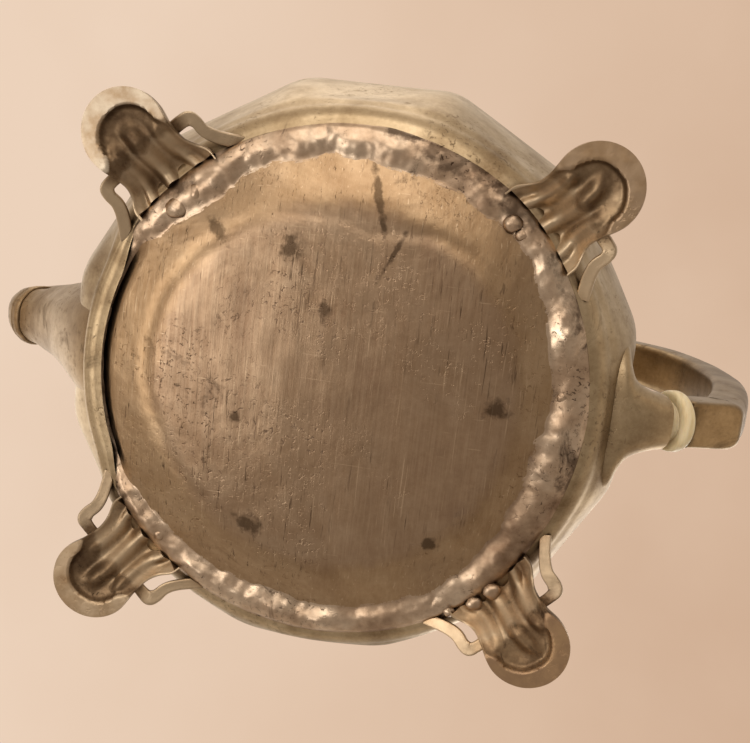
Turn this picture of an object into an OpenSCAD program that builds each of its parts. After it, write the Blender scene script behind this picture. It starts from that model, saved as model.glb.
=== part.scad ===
// Twelve-panelled coffee pot on four cast scroll feet, with a hinged lid.
// Millimetres, +Z up. The soles stand on z = 0 and the body's axis is the Z axis.
// The spout points to +X, the handle and the lid hinge to -X.

/* [Body] */
// Panels round the body; 12 or 20 put an arris over every foot
panel_count = 12; // [12:8:20]
// Height of the body's bottom rim above the soles
base_clearance = 9.5; // [8:0.5:14]
// Outer radius of the bottom rim
base_radius = 56; // [52:0.5:60]
// Radius of the belly, over the arrises
belly_radius = 71; // [66:0.5:76]
// Height of the widest ring
belly_height = 48; // [44:1:58]
// Radius of the neck, over the arrises
neck_radius = 37; // [34:0.5:40]
// Height of the narrowest ring
neck_height = 146; // [138:1:152]
// Outer radius of the round mouth
mouth_radius = 41; // [39:0.5:44]
// Height of the top of the shell
body_height = 178; // [172:1:190]
// Thickness of the sheet metal
wall = 1.3; // [1:0.1:2]
// Height of the moulded rim soldered on the mouth
rim_height = 3.2; // [2.4:0.1:4.5]
// How far the moulded rim stands out from the mouth
rim_overhang = 2.2; // [1.5:0.1:3.5]

/* [Base] */
// How far the middle of the base plate hangs below the bottom rim
base_sag = 4; // [2:0.25:6]
// Radius of the crease round the flat middle of the base plate
base_crease_radius = 41; // [34:1:46]
// Width of the solder bead that closes the base
bead_width = 5.4; // [3.5:0.1:7]
// Height of the solder bead
bead_height = 1.3; // [0.6:0.1:2]

/* [Feet] */
// Distance of the tip of each toe from the pot's axis
toe_reach = 76.3; // [72:0.5:82]
// Half of the width of the toe
toe_half_width = 8.8; // [7.5:0.1:10]
// Half of the width of the foot's neck
foot_neck_half_width = 7.6; // [6:0.1:8]
// Width of the flat sole round the tip of the toe
sole_width = 3; // [2:0.1:4]
// Thickness of the casting
foot_wall = 2; // [1.5:0.1:2.6]
// Thickness of the casting's side edges
foot_edge = 1; // [0.7:0.1:1.5]
// Height of the middle rib inside the foot
rib_height = 3; // [1.5:0.1:4]
// Height of the two side ribs inside the foot
side_rib_height = 1.8; // [0.8:0.1:3]
// Width of the pierced strap beside the foot
strap_width = 2.4; // [1.8:0.1:3]
// Thickness of the strap
strap_thick = 1.7; // [1.2:0.1:2.2]
// Distance of the strap's outer edge from the middle of the foot
strap_offset = 13.2; // [12.5:0.1:15]

/* [Spout] */
// Height of the lowest point of the spout's root on the body
spout_root_height = 20; // [18:0.5:24]
// Half of the width of the spout where it leaves the body
spout_root_half = 17; // [14:0.1:18]
// How much wider the spout's root flares on the body
spout_root_flare = 3; // [0:0.1:4]
// Distance of the spout's joint collar from the pot's axis
spout_joint_x = 88.6; // [86:0.2:91]
// Height of the spout's joint collar
spout_joint_z = 54.7; // [52:0.5:60]
// Half of the width of the spout at the joint collar
spout_joint_half = 7.4; // [7:0.1:8.6]
// Height of the middle of the strainer
strainer_height = 40; // [36:0.5:46]
// Height of the middle of the pouring mouth
spout_mouth_height = 172; // [164:1:182]
// Half of the width of the pouring mouth
spout_mouth_half = 5; // [4.4:0.1:6]
// Furthest reach of the spout and of the handle from the pot's axis
reach = 102.5; // [98:0.5:108]
// Thickness of the spout's metal
spout_wall = 1.2; // [1:0.1:1.6]
// Diameter of the holes of the strainer
strainer_hole = 2.4; // [1.8:0.1:2.8]
// Distance between the holes of the strainer
strainer_pitch = 4.2; // [3.6:0.1:5]

/* [Handle] */
// Height of the lower ivory ring
lower_ring_z = 25; // [23:0.5:28]
// Angle at which the lower end of the handle rises
lower_rise = 25; // [15:1:32]
// Length of the straight lower arm, from the ivory ring to the heel
lower_arm = 10.6; // [8:0.2:14]
// How far the grip leans outwards above the heel, from the vertical
heel_lean = 22; // [10:1:32]
// Distance of the upper ivory ring from the pot's axis
upper_ring_x = 57.5; // [56:0.5:62]
// Height of the upper ivory ring
upper_ring_z = 138; // [130:0.5:142]
// Angle at which the upper end of the handle rises towards the body
upper_rise = 6; // [0:1:20]
// Half of the width of the handle
handle_half_width = 5.3; // [4.5:0.1:6]
// Half of the thickness of the handle
handle_half_thick = 4.6; // [3.8:0.1:5.2]
// Radius of the lower ivory ring
ring_radius = 6.9; // [6.2:0.1:7.6]
// Thickness of the ivory rings
ring_thick = 3; // [2.2:0.1:4]
// Radius of the ivory spigot that enters the socket
spigot_radius = 4.4; // [3.6:0.1:5]
// Length of the spigot that stays open to view
spigot_show = 2.4; // [1.5:0.1:3]
// Radius of the dowel through each joint
dowel_radius = 1.6; // [1.2:0.1:2]
// How far the dowel enters the socket and the handle
dowel_depth = 7.5; // [6:0.5:9]
// Radius of the cross pins
cross_pin_radius = 0.7; // [0.5:0.05:0.9]

/* [Lid] */
// Height of the dome
dome_height = 25; // [20:0.5:30]
// Radius of the small flat top of the dome
dome_top_radius = 7; // [6:0.25:9]
// Thickness of the lid's flange
flange_thick = 1.8; // [1.4:0.1:2.4]
// Depth of the skirt inside the mouth
skirt_depth = 4; // [3:0.25:5]
// Thickness of the lid's sheet metal
lid_wall = 1.2; // [1:0.1:1.6]
// Gap between the skirt and the mouth
lid_gap = 0.4; // [0.3:0.05:0.8]

/* [Hinge] */
// Radius of the knuckles
knuckle_radius = 2.4; // [2.1:0.1:2.8]
// Radius of the hinge pin
hinge_pin_radius = 1.1; // [0.8:0.05:1.3]
// Radial clearance of the pin in the knuckles
pin_clearance = 0.04; // [0.02:0.01:0.08]
// Length of the lid's middle knuckle
middle_knuckle = 7; // [6:0.5:9]
// Length of each of the bracket's outer knuckles
outer_knuckle = 4.2; // [3.5:0.1:5.5]
// Side gap between the knuckles
knuckle_gap = 0.3; // [0.2:0.05:0.5]

/* [Finial] */
// Height of the turned metal base
finial_base_height = 7; // [5:0.25:9]
// Height of the ivory knob
finial_knob_height = 17; // [13:0.5:21]
// Largest radius of the ivory knob
finial_knob_radius = 7.2; // [6:0.1:8.5]
// Radius of the finial's screw
screw_radius = 1.5; // [1.2:0.1:1.8]

/* [Hidden] */
// Clearance left in a soldered or glued seam
seam = 0.05;
// Gap under the closed lid
lid_rest_gap = 0.15;
// Gap between the inner end of the lower dowel and the body's wall
dowel_wall_gap = 0.349072;
// Corners of the rings per panel
corners_per_panel = 3;
ring_corners = panel_count * corners_per_panel;
half_panel = 180 / panel_count;
// Height over which the round bottom rim turns into panels
panel_blend = 12;
// Softening of the arrises
arris_softness = 0.35;
// Fullness of the bowl below the belly
bowl_power = 1.6;
bowl_rings = 6;
shoulder_rings = 9;
flare_rings = 4;

seat_z = body_height + rim_height;
foot_angles = [45, 135, 225, 315];
silver = [0.62, 0.60, 0.54];
dull = [0.45, 0.42, 0.36];
ivory = [0.93, 0.89, 0.76];
brass = [0.72, 0.58, 0.30];

// ---- helpers ----

function lerp(a, b, t) = a + (b - a) * t;
function clamp01(t) = max(0, min(1, t));
function ease(t) = let (c = clamp01(t)) c * c * (3 - 2 * c);
function bezier(p, t) = let (q = 1 - t)
    q * q * q * p[0] + 3 * q * q * t * p[1] + 3 * q * t * t * p[2] + t * t * t * p[3];
function bezier_slope(p, t) = let (q = 1 - t)
    q * q * (p[1] - p[0]) + 2 * q * t * (p[2] - p[1]) + t * t * (p[3] - p[2]);
function heading(v) = atan2(v[1], v[0]);

// Closed surface through rings of equal length. A ring runs anticlockwise when it is
// seen from the side that the next ring lies on.
module skin(rings, loop = false) {
    m = len(rings[0]);
    n = len(rings);
    points = [for (r = rings, p = r) p];
    last = loop ? n - 1 : n - 2;
    walls = [for (i = [0:last], j = [0:m - 1])
        let (a = i * m + j, b = i * m + (j + 1) % m,
             c = ((i + 1) % n) * m + (j + 1) % m, d = ((i + 1) % n) * m + j)
        each [[a, c, b], [a, d, c]]];
    caps = loop ? [] : [[for (j = [0:m - 1]) j], [for (j = [m - 1:-1:0]) (n - 1) * m + j]];
    polyhedron(points, concat(walls, caps), convexity = 6);
}

// Ring with eight corners: half-width a across, half-thickness b, and the share of
// each side that stays flat between the bevels
function bevelled(a, b, flat_a = 0.72, flat_b = 0.5) =
    [[a * flat_a, b], [a, b * flat_b], [a, -b * flat_b], [a * flat_a, -b],
     [-a * flat_a, -b], [-a, -b * flat_b], [-a, b * flat_b], [-a * flat_a, b]];

// Sets a flat ring across a path in the XZ plane; its thickness lies in that plane
function across(ring, at, angle) =
    [for (p = ring) [at[0] + p[1] * sin(angle), p[0], at[1] - p[1] * cos(angle)]];

// ---- body ----

// Outline of the shell as [height, radius over the arrises]
function bowl_station(angle) =
    [base_clearance + (belly_height - base_clearance) * (1 - pow(cos(angle), 2 / bowl_power)),
     base_radius + (belly_radius - base_radius) * pow(sin(angle), 2 / bowl_power)];
function shoulder_station(t) =
    [lerp(belly_height, neck_height, t),
     lerp(neck_radius, belly_radius, 0.5 + 0.5 * cos(180 * pow(t, 1.1)))];
function flare_station(t) =
    [lerp(neck_height, body_height, t), lerp(neck_radius, mouth_radius, t * t)];
shell_stations = concat(
    [for (i = [0:bowl_rings]) bowl_station(90 * i / bowl_rings)],
    [for (i = [1:shoulder_rings]) shoulder_station(i / shoulder_rings)],
    [for (i = [1:flare_rings]) flare_station(i / flare_rings)]);

// How far a ring has turned from round (0) to panelled (1)
function panelled(z) = min(ease((z - base_clearance) / panel_blend),
                           ease((body_height - 2 - z) / panel_blend));
function panel_radius(r, share, angle) =
    let (off = abs((angle + half_panel) % (2 * half_panel) - half_panel),
         flat_r = r * cos(half_panel) / cos(off),
         soft = off > half_panel - 1 ? arris_softness : 0)
    lerp(r, flat_r - soft, share);
function shell_ring(z, r, share) = [for (j = [0:ring_corners - 1])
    let (angle = half_panel + j * 360 / ring_corners, q = panel_radius(r, share, angle))
    [q * cos(angle), q * sin(angle), z]];
function shell_rings(grow) =
    [for (s = shell_stations) shell_ring(s[0], s[1] + grow, panelled(s[0]))];

// Radius of the shell at a height, and the distance of its panels from the axis
function shell_radius(z) = lookup(z, shell_stations);
function panel_x(z) = panel_radius(shell_radius(z), panelled(z), 0);

// The space inside the shell's outer surface, for parts that are fitted against it.
// The lower one goes on down past the solder bead.
module body_envelope(stations) {
    skin([for (s = stations) shell_ring(s[0], s[1] + seam, panelled(s[0]))]);
}
module lower_envelope()
    body_envelope(concat([[base_clearance - envelope_drop, base_radius]],
                         [for (s = shell_stations) if (s[0] < 80) s]));
module upper_envelope() body_envelope([for (s = shell_stations) if (s[0] > 90) s]);

module body_shell() {
    outer = shell_rings(0);
    inner = shell_rings(-wall);
    color(silver) difference() {
        skin(concat(outer, [for (i = [len(inner) - 1:-1:0]) inner[i]]), loop = true);
        strainer_holes();
    }
}

// Hexagonal field of holes through the panel behind the spout
module strainer_holes() {
    row_pitch = strainer_pitch * sin(60);
    for (row = [-2:2]) {
        holes = 5 - abs(row);
        for (i = [0:holes - 1])
            translate([panel_x(strainer_height) - 8, (i - (holes - 1) / 2) * strainer_pitch,
                       strainer_height + row * row_pitch])
                rotate([0, 90, 0]) cylinder(d = strainer_hole, h = 16, $fn = 24);
    }
}

module neck_rim() {
    inside = mouth_radius - wall - 0.3;
    outside = mouth_radius + rim_overhang;
    color(silver) translate([0, 0, body_height]) rotate_extrude($fn = 96)
        polygon([[inside, 0], [outside - 1, 0], [outside, 0.7], [outside, rim_height - 1.2],
                 [outside - 0.8, rim_height], [inside, rim_height]]);
}

// ---- base ----

// Smallest radius of a shell ring, at the middle of its sides
function inner_reach(r) = r * cos(180 / ring_corners);
base_plate_radius = inner_reach(base_radius - wall) - seam;
// Underside of the base plate as [radius, height]: flat, a crease, then the rising flank
base_centre_z = base_clearance - base_sag;
base_flank = [
    [0, base_centre_z], [base_crease_radius - 3, base_centre_z + 0.15],
    [base_crease_radius, base_centre_z + 0.6],
    [lerp(base_crease_radius, base_plate_radius, 0.6), lerp(base_centre_z, base_clearance, 0.76)],
    [base_plate_radius - 1.6, base_clearance]];
module base_plate() {
    top = [for (i = [len(base_flank) - 1:-1:0]) base_flank[i] + [0, wall]];
    color(dull) rotate_extrude($fn = 96)
        polygon(concat(base_flank, [[base_plate_radius, base_clearance],
                                    [base_plate_radius, base_clearance + wall]], top));
}

module base_solder() {
    outer = inner_reach(base_radius) - 2 * seam;
    inner = outer - bead_width;
    covered = [for (i = [len(base_flank) - 1:-1:0]) if (base_flank[i][0] > inner) base_flank[i]];
    color(dull) rotate_extrude($fn = 96)
        polygon(concat(
            [[inner, lookup(inner, base_flank)],
             [inner + 0.9, lookup(inner, base_flank) - bead_height * 0.6],
             [outer - bead_width * 0.4, base_clearance - bead_height],
             [outer - 0.5, base_clearance - bead_height * 0.7], [outer, base_clearance]], covered));
}

// ---- feet ----

heel_radius = base_radius - 3;
envelope_drop = 2 * bead_height;
toe_centre = toe_reach - toe_half_width;
sole_lift = 0.3;
toe_height = 2.6;
foot_top = base_clearance + 13;

// Half-width of the foot at a distance u from the pot's axis
function foot_half_width(u) = u > toe_centre
    ? sqrt(max(0.36, pow(toe_half_width, 2) - pow(u - toe_centre, 2)))
    : lerp(toe_half_width, foot_neck_half_width, ease((toe_centre - u) / 8))
      + 3 * ease((base_radius + 6 - u) / 6);
function foot_crest(u) = lerp(toe_height, foot_top,
    pow(clamp01((toe_reach - u) / (toe_reach - heel_radius)), 1.15));
function foot_low_edge(u) = sole_lift
    + (base_clearance - envelope_drop + 0.2 - sole_lift)
      * ease((toe_centre - 2.5 - u) / (toe_centre - 3.5 - base_radius));
// Height of the top of the casting: an arch with a groove down its middle
function foot_top_z(u, t) = let (w = foot_half_width(u), v = clamp01(abs(t) / w),
        edge = min(foot_low_edge(u) + foot_wall, foot_crest(u)))
    lerp(edge, foot_crest(u), pow(1 - pow(v, 2.6), 0.75))
    - groove_depth(u) * pow(clamp01(1 - abs(t) / 2.4), 1.2);
function groove_depth(u) = min(1.8, 0.6 * (foot_crest(u) - toe_height)) * ease((toe_reach - 2 - u) / 5);
// Width of the edge on either side of the hollow: the worn sole at the toe, thin behind
function foot_side(u) = min(0.4 * foot_half_width(u),
    lerp(foot_edge, sole_width, ease((u - toe_centre + 4) / 6)));
// The underside is hollow between its edges, with a middle rib and two side ribs
function hollow_share(u, t) = let (from_side = foot_half_width(u) - foot_side(u) - abs(t),
        from_tip = toe_reach - sole_width - u)
    clamp01(min(from_side / 1.1, from_tip / 1.4 + 0.02));
function ribs(u, t) = let (side_t = 0.6 * (foot_half_width(u) - foot_side(u)))
    ease((toe_centre + 2.5 - u) / 2.5) * max(rib_height * clamp01(1.2 - abs(t) / 2),
        side_rib_height * clamp01(1 - abs(abs(t) - side_t) / 1.7));
function foot_under_z(u, t) = let (low = foot_low_edge(u) + 0.06 * (1 - pow(t / foot_half_width(u), 2)),
        roof = foot_top_z(u, t) - foot_wall)
    max(low, lerp(low, roof - ribs(u, t), hollow_share(u, t)));

hollow_columns = [0, 0.2, 0.36, 0.6, 0.84];
function foot_rows(u) = let (w = foot_half_width(u), open = w - foot_side(u))
    concat([-w, -open], [for (i = [4:-1:1]) -hollow_columns[i] * open],
           [for (c = hollow_columns) c * open], [open, w]);
function foot_section(u) = let (rows = foot_rows(u), n = len(rows))
    concat([for (t = rows) [u, t, max(foot_top_z(u, t), foot_low_edge(u) + 0.8)]],
           [for (i = [n - 1:-1:0]) [u, rows[i], foot_under_z(u, rows[i])]]);
foot_steps = [0, 0.035, 0.09, 0.15, 0.2, 0.29, 0.38, 0.48, 0.6, 0.72, 0.86, 1];

module foot_casting() {
    skin([for (s = foot_steps) foot_section(lerp(toe_reach, heel_radius, s))]);
}

// The worn flat ring that the pot stands on
module foot_sole() {
    inset = 0.25;
    linear_extrude(2 * sole_lift) difference() {
        translate([toe_centre, 0]) circle(r = toe_half_width - inset, $fn = 48);
        translate([toe_centre - sole_width, 0]) circle(r = toe_half_width - inset - 0.2, $fn = 48);
        translate([toe_centre - 4 * toe_half_width, -2 * toe_half_width])
            square([4 * toe_half_width, 4 * toe_half_width]);
    }
}

// Pierced ribbon that leaves the side of the foot, turns a square corner and runs in
// to the bottom rim; it climbs as it goes
strap_slope = 24;
strap_corner_u = toe_reach - 12;
module foot_strap() {
    w = strap_width;
    o = strap_offset;
    n = foot_neck_half_width;
    u = strap_corner_u;
    translate([u, 0, base_clearance - 5.4]) rotate([0, strap_slope, 0]) linear_extrude(strap_thick)
        polygon([[0.4, n - 0.6], [0.2, o - 0.2], [-0.4, o + 0.1], [-4, o + 0.3], [-8, o + 1.2],
                 [-12.5, o + 3.6], [-13.6, o + 3.4 - w], [-8.8, o + 1 - w], [-4.4, o + 0.2 - w],
                 [-w, o - w], [-w - 0.2, n - 1.2]]);
}

module foot() {
    color(dull) difference() {
        union() {
            foot_casting();
            foot_sole();
            foot_strap();
            mirror([0, 1, 0]) foot_strap();
        }
        rotate(-foot_angles[0]) lower_envelope();
    }
}
module foot_at(i) rotate(foot_angles[i]) foot();

// ---- spout ----

// The belly of the spout hangs from its underside, a path in the XZ plane
spout_joint = [spout_joint_x, spout_joint_z];
spout_joint_angle = 55;
spout_mouth_lead = [16, 62];
spout_mouth = [reach - spout_mouth_half * sin(heading(spout_mouth_lead)), spout_mouth_height];
spout_root = [panel_x(spout_root_height), spout_root_height];
spout_under = spout_joint + spout_joint_half * [sin(spout_joint_angle), -cos(spout_joint_angle)];
spout_low_path = [spout_root - [8, 9], spout_root + [4, 3.5],
    spout_under - 11 * [cos(spout_joint_angle), sin(spout_joint_angle)], spout_under];
spout_high_path = [spout_joint, spout_joint + 20 * [cos(spout_joint_angle), sin(spout_joint_angle)],
    spout_mouth - spout_mouth_lead, spout_mouth];

function spout_low_ring(t, shrink) =
    let (half = lerp(spout_root_half, spout_joint_half, pow(t, 2.4))
             + spout_root_flare * pow(1 - clamp01(t / 0.45), 1.5),
         angle = heading(bezier_slope(spout_low_path, t)),
         middle = bezier(spout_low_path, t) + half * [-sin(angle), cos(angle)])
    across(bevelled(half - shrink, half - shrink, lerp(0.55, 0.46, t), lerp(0.3, 0.46, t)),
           middle, angle);
spout_low_steps = [0, 0.14, 0.27, 0.42, 0.56, 0.69, 0.8, 0.9, 1];
module spout_lower() {
    outer = [for (t = spout_low_steps) spout_low_ring(t, 0)];
    inner = [for (i = [len(spout_low_steps) - 1:-1:0]) spout_low_ring(spout_low_steps[i], spout_wall)];
    color(silver) difference() {
        skin(concat(outer, inner), loop = true);
        lower_envelope();
    }
}

// The neck is rounder than the belly: its corners are nearly even
function spout_high_ring(t, shrink) = let (half = lerp(spout_joint_half, spout_mouth_half, pow(t, 0.75))
        + 0.3 * sin(180 * clamp01(t * 4.5)))
    across(bevelled(half - shrink, half - shrink, 0.46, 0.46),
           bezier(spout_high_path, t), heading(bezier_slope(spout_high_path, t)));
spout_high_count = 14;
module spout_neck() {
    steps = [for (i = [0:spout_high_count]) i / spout_high_count];
    outer = [for (t = steps) spout_high_ring(t, 0)];
    inner = [for (i = [spout_high_count:-1:0]) spout_high_ring(steps[i], spout_wall)];
    color(silver) skin(concat(outer, inner), loop = true);
}

// Band round the foot of the neck, over the joint; it follows the neck's first facets
function collar_ring(share, grow) = let (low = spout_high_ring(0, -grow),
        high = spout_high_ring(1 / spout_high_count, -grow))
    [for (j = [0:len(low) - 1]) lerp(low[j], high[j], share)];
module spout_collar() {
    shares = [0.02, 0.1, 0.36, 0.44];
    outer = [for (i = [0:3]) collar_ring(shares[i], i % 3 == 0 ? 0.35 : 0.7)];
    inner = [for (i = [3:-1:0]) collar_ring(shares[i], 2 * seam)];
    color(silver) skin(concat(outer, inner), loop = true);
}

// ---- handle ----

lower_out = [-cos(lower_rise), sin(lower_rise)];
upper_out = [-cos(upper_rise), -sin(upper_rise)];
// The lower ring stands out just far enough for its dowel to end outside the wall
lower_dowel_run = dowel_depth + ring_thick / 2 + spigot_show;
lower_dowel_end_z = lower_ring_z - lower_dowel_run * sin(lower_rise) + dowel_radius * cos(lower_rise);
lower_ring_x = panel_x(lower_dowel_end_z) + lower_dowel_run * cos(lower_rise)
    + dowel_radius * sin(lower_rise) + dowel_wall_gap;
lower_ring_at = [-lower_ring_x, lower_ring_z];
upper_ring_at = [-upper_ring_x, upper_ring_z];
lower_grip_at = lower_ring_at + lower_out * ring_thick / 2;
upper_grip_at = upper_ring_at + upper_out * ring_thick / 2;
lower_socket_at = lower_ring_at - lower_out * (ring_thick / 2 + spigot_show);
upper_socket_at = upper_ring_at - upper_out * (ring_thick / 2 + spigot_show);
heel_at = lower_grip_at + lower_arm * lower_out;
heel_out = [-sin(heel_lean), cos(heel_lean)];
grip_back = [-(reach - handle_half_thick), lerp(lower_ring_z, upper_ring_z, 0.55)];
grip_low_path = [heel_at, heel_at + 18 * heel_out, grip_back - [0, 22], grip_back];
grip_high_path = [grip_back, grip_back + [0, 25], upper_grip_at + 24 * upper_out, upper_grip_at];

function grip_ring(at, angle, width, thick) =
    across(bevelled(handle_half_width * width, handle_half_thick * thick, 0.84, 0.6), at, angle);
function grip_path_ring(path, t, width) =
    grip_ring(bezier(path, t), heading(bezier_slope(path, t)), width, 1);
grip_steps = 9;
// A straight lower arm, a square heel with a mitred ring, then the curved grip
module handle_grip() {
    turn = heading(lower_out) - heading(heel_out);
    arm = [for (s = [0, 0.5, 0.8])
        grip_ring(lower_grip_at + s * lower_arm * lower_out, heading(lower_out), 1, 1)];
    heel = [grip_ring(heel_at, heading(lower_out) - turn / 2, 1.02, 1 / cos(turn / 2))];
    low = [for (i = [1:grip_steps]) let (t = lerp(0.07, 1, (i - 1) / (grip_steps - 1)))
        grip_path_ring(grip_low_path, t, 1)];
    high = [for (i = [1:grip_steps]) grip_path_ring(grip_high_path, i / grip_steps, 1)];
    color(silver) difference() {
        skin(concat(arm, heel, low, high));
        joint_bore(lower_grip_at, lower_out);
        joint_bore(upper_grip_at, upper_out);
        cross_bore(lower_grip_at, lower_out, handle_half_width);
        cross_bore(upper_grip_at, upper_out, handle_half_width);
    }
}

// Bore for a dowel, entered at a point and running along a heading in the XZ plane
module joint_bore(at, out) {
    translate([at[0], 0, at[1]]) rotate([0, 90 - heading(out), 0])
        translate([0, 0, -1]) cylinder(r = dowel_radius + pin_clearance, h = dowel_depth + 1.5, $fn = 32);
}
// Bore for a pin across the dowel, half way into its seat, and the pin itself
module cross_bore(at, out, half) {
    mid = at + out * dowel_depth / 2;
    translate([mid[0], 0, mid[1]]) rotate([90, 0, 0])
        cylinder(r = cross_pin_radius + pin_clearance, h = 4 * half, center = true, $fn = 24);
}
module cross_pin(at, out, half) {
    mid = at + out * dowel_depth / 2;
    translate([mid[0], 0, mid[1]]) rotate([90, 0, 0])
        cylinder(r = cross_pin_radius, h = 2 * half, center = true, $fn = 24);
}
module dowel(at, out) {
    length = 2 * dowel_depth + ring_thick + spigot_show;
    start = at - out * (dowel_depth + ring_thick / 2 + spigot_show);
    color(brass) difference() {
        translate([start[0], 0, start[1]]) rotate([0, 90 - heading(out), 0])
            cylinder(r = dowel_radius, h = length, $fn = 32);
        cross_bore(at + out * ring_thick / 2, out, handle_half_width);
        cross_bore(at - out * (ring_thick / 2 + spigot_show), -out, handle_half_width);
    }
}
module lower_dowel() dowel(lower_ring_at, lower_out);
module upper_dowel() dowel(upper_ring_at, upper_out);

// Ivory ring with a narrower spigot towards the socket
module insulator(at, out, radius) {
    h = ring_thick / 2;
    color(ivory) translate([at[0], 0, at[1]]) rotate([0, 90 - heading(out), 0])
        rotate_extrude($fn = 64)
            polygon([[dowel_radius + pin_clearance, -h - spigot_show], [spigot_radius, -h - spigot_show],
                     [spigot_radius, -h], [radius - 0.7, -h], [radius, -h + 0.7], [radius, h - 0.7],
                     [radius - 0.7, h], [dowel_radius + pin_clearance, h]]);
}
module lower_insulator() insulator(lower_ring_at, lower_out, ring_radius);
module upper_insulator() insulator(upper_ring_at, upper_out, ring_radius - 0.5);

// Trumpet-shaped socket: flat against a panel at its root, round at the joint.
// Each station is [share of the way out, half-width, half-height].
lower_root_z = lower_ring_z - 4.5;
lower_root_at = [-(panel_x(lower_root_z) - 3), lower_root_z + 0.6];
lower_root_heading = 195;
lower_flares = [[0, 17, 11], [0.2, 16.5, 10.5], [0.34, 11.5, 8.8], [0.52, 8.4, 7.4], [0.74, 6.9, 6.5],
                [1, 6.2, 5.9]];
upper_root_at = [-(panel_x(upper_ring_z + 2) - 3), upper_ring_z + 2.6];
upper_root_heading = 168;
upper_flares = [[0, 9.8, 12], [0.18, 9.4, 11.5], [0.32, 7.4, 8.6], [0.55, 6.3, 6.6], [1, 5.7, 5.4]];

module socket(root, root_heading, end, out, flares) {
    run = norm(end - root);
    path = [root, root + run * 0.35 * [cos(root_heading), sin(root_heading)], end - run * 0.3 * out, end];
    difference() {
        skin([for (f = flares) across(bevelled(f[1], f[2], 0.6, 0.45), bezier(path, f[0]),
                                      heading(bezier_slope(path, f[0])))]);
        lower_envelope();
        upper_envelope();
        joint_bore(end, -out);
        cross_bore(end, -out, handle_half_width);
    }
}
module handle_lower_socket()
    color(silver) socket(lower_root_at, lower_root_heading, lower_socket_at, lower_out, lower_flares);
module handle_upper_socket()
    color(silver) socket(upper_root_at, upper_root_heading, upper_socket_at, upper_out, upper_flares);

module cross_pins() {
    color(brass) {
        cross_pin(lower_grip_at, lower_out, handle_half_width);
        cross_pin(upper_grip_at, upper_out, handle_half_width);
        cross_pin(lower_socket_at, -lower_out, lower_flares[len(lower_flares) - 1][1]);
        cross_pin(upper_socket_at, -upper_out, upper_flares[len(upper_flares) - 1][1]);
    }
}

// ---- hinge ----

hinge_x = mouth_radius + rim_overhang + knuckle_radius + 0.9;
hinge_z = seat_z + 0.6;
hinge_half = middle_knuckle / 2 + knuckle_gap + outer_knuckle;
module at_hinge() translate([-hinge_x, 0, hinge_z]) rotate([90, 0, 0]) children();

module hinge_bracket() {
    rim_r = mouth_radius + rim_overhang;
    color(silver) difference() {
        union() {
            at_hinge() cylinder(r = knuckle_radius, h = 2 * hinge_half, center = true, $fn = 48);
            translate([-hinge_x, -hinge_half, body_height + 0.7])
                cube([hinge_x - rim_r + 3, 2 * hinge_half, rim_height - 1.9]);
        }
        cylinder(r = rim_r + seam, h = 2 * seat_z, $fn = 96);
        at_hinge() cylinder(r = hinge_pin_radius + pin_clearance, h = 4 * hinge_half, center = true, $fn = 32);
        at_hinge() cylinder(r = knuckle_radius + 0.5, h = middle_knuckle + 2 * knuckle_gap,
                            center = true, $fn = 48);
    }
}
module hinge_pin() {
    color(brass) at_hinge() cylinder(r = hinge_pin_radius, h = 2 * hinge_half + 1, center = true, $fn = 32);
}

// ---- lid ----

flange_radius = mouth_radius + rim_overhang;
skirt_radius = mouth_radius - wall - 0.3 - lid_gap;
flange_z = seat_z + lid_rest_gap;
dome_z = flange_z + flange_thick;
dome_radius = mouth_radius - 1;

module lid_hinge_leaf() {
    thick = 1.5;
    color(silver) difference() {
        union() {
            at_hinge() cylinder(r = knuckle_radius, h = middle_knuckle, center = true, $fn = 48);
            translate([-hinge_x, -middle_knuckle / 2, flange_z])
                cube([hinge_x - flange_radius + 2, middle_knuckle, thick]);
        }
        cylinder(r = flange_radius + seam, h = 2 * flange_z, $fn = 96);
        at_hinge() cylinder(r = hinge_pin_radius + pin_clearance, h = 4 * hinge_half, center = true, $fn = 32);
    }
}

module lid_flange() {
    r = skirt_radius;
    color(silver) rotate_extrude($fn = 96)
        polygon([[r - lid_wall, flange_z - skirt_depth], [r, flange_z - skirt_depth], [r, flange_z],
                 [flange_radius - 0.5, flange_z], [flange_radius, flange_z + 0.5],
                 [flange_radius, dome_z - 0.6], [flange_radius - 0.6, dome_z], [r - lid_wall, dome_z]]);
}

function dome_station(angle, shrink) =
    [dome_z + (dome_height - shrink) * sin(angle),
     lerp(dome_top_radius, dome_radius, pow(cos(angle), 0.85)) - shrink,
     ease(angle / 25) * ease((90 - angle) / 20)];
dome_angles = [0, 9, 18, 28, 39, 51, 63, 76, 90];
module lid_dome() {
    color(silver) difference() {
        skin([for (a = dome_angles) let (s = dome_station(a, 0)) shell_ring(s[0], s[1], s[2])]);
        skin([for (a = dome_angles) let (s = dome_station(a, lid_wall))
            shell_ring(a == 0 ? s[0] - 1 : s[0], s[1], s[2])]);
        cylinder(r = screw_radius + 0.1, h = dome_z + dome_height + 10, $fn = 32);
    }
}

// ---- finial ----

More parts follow.
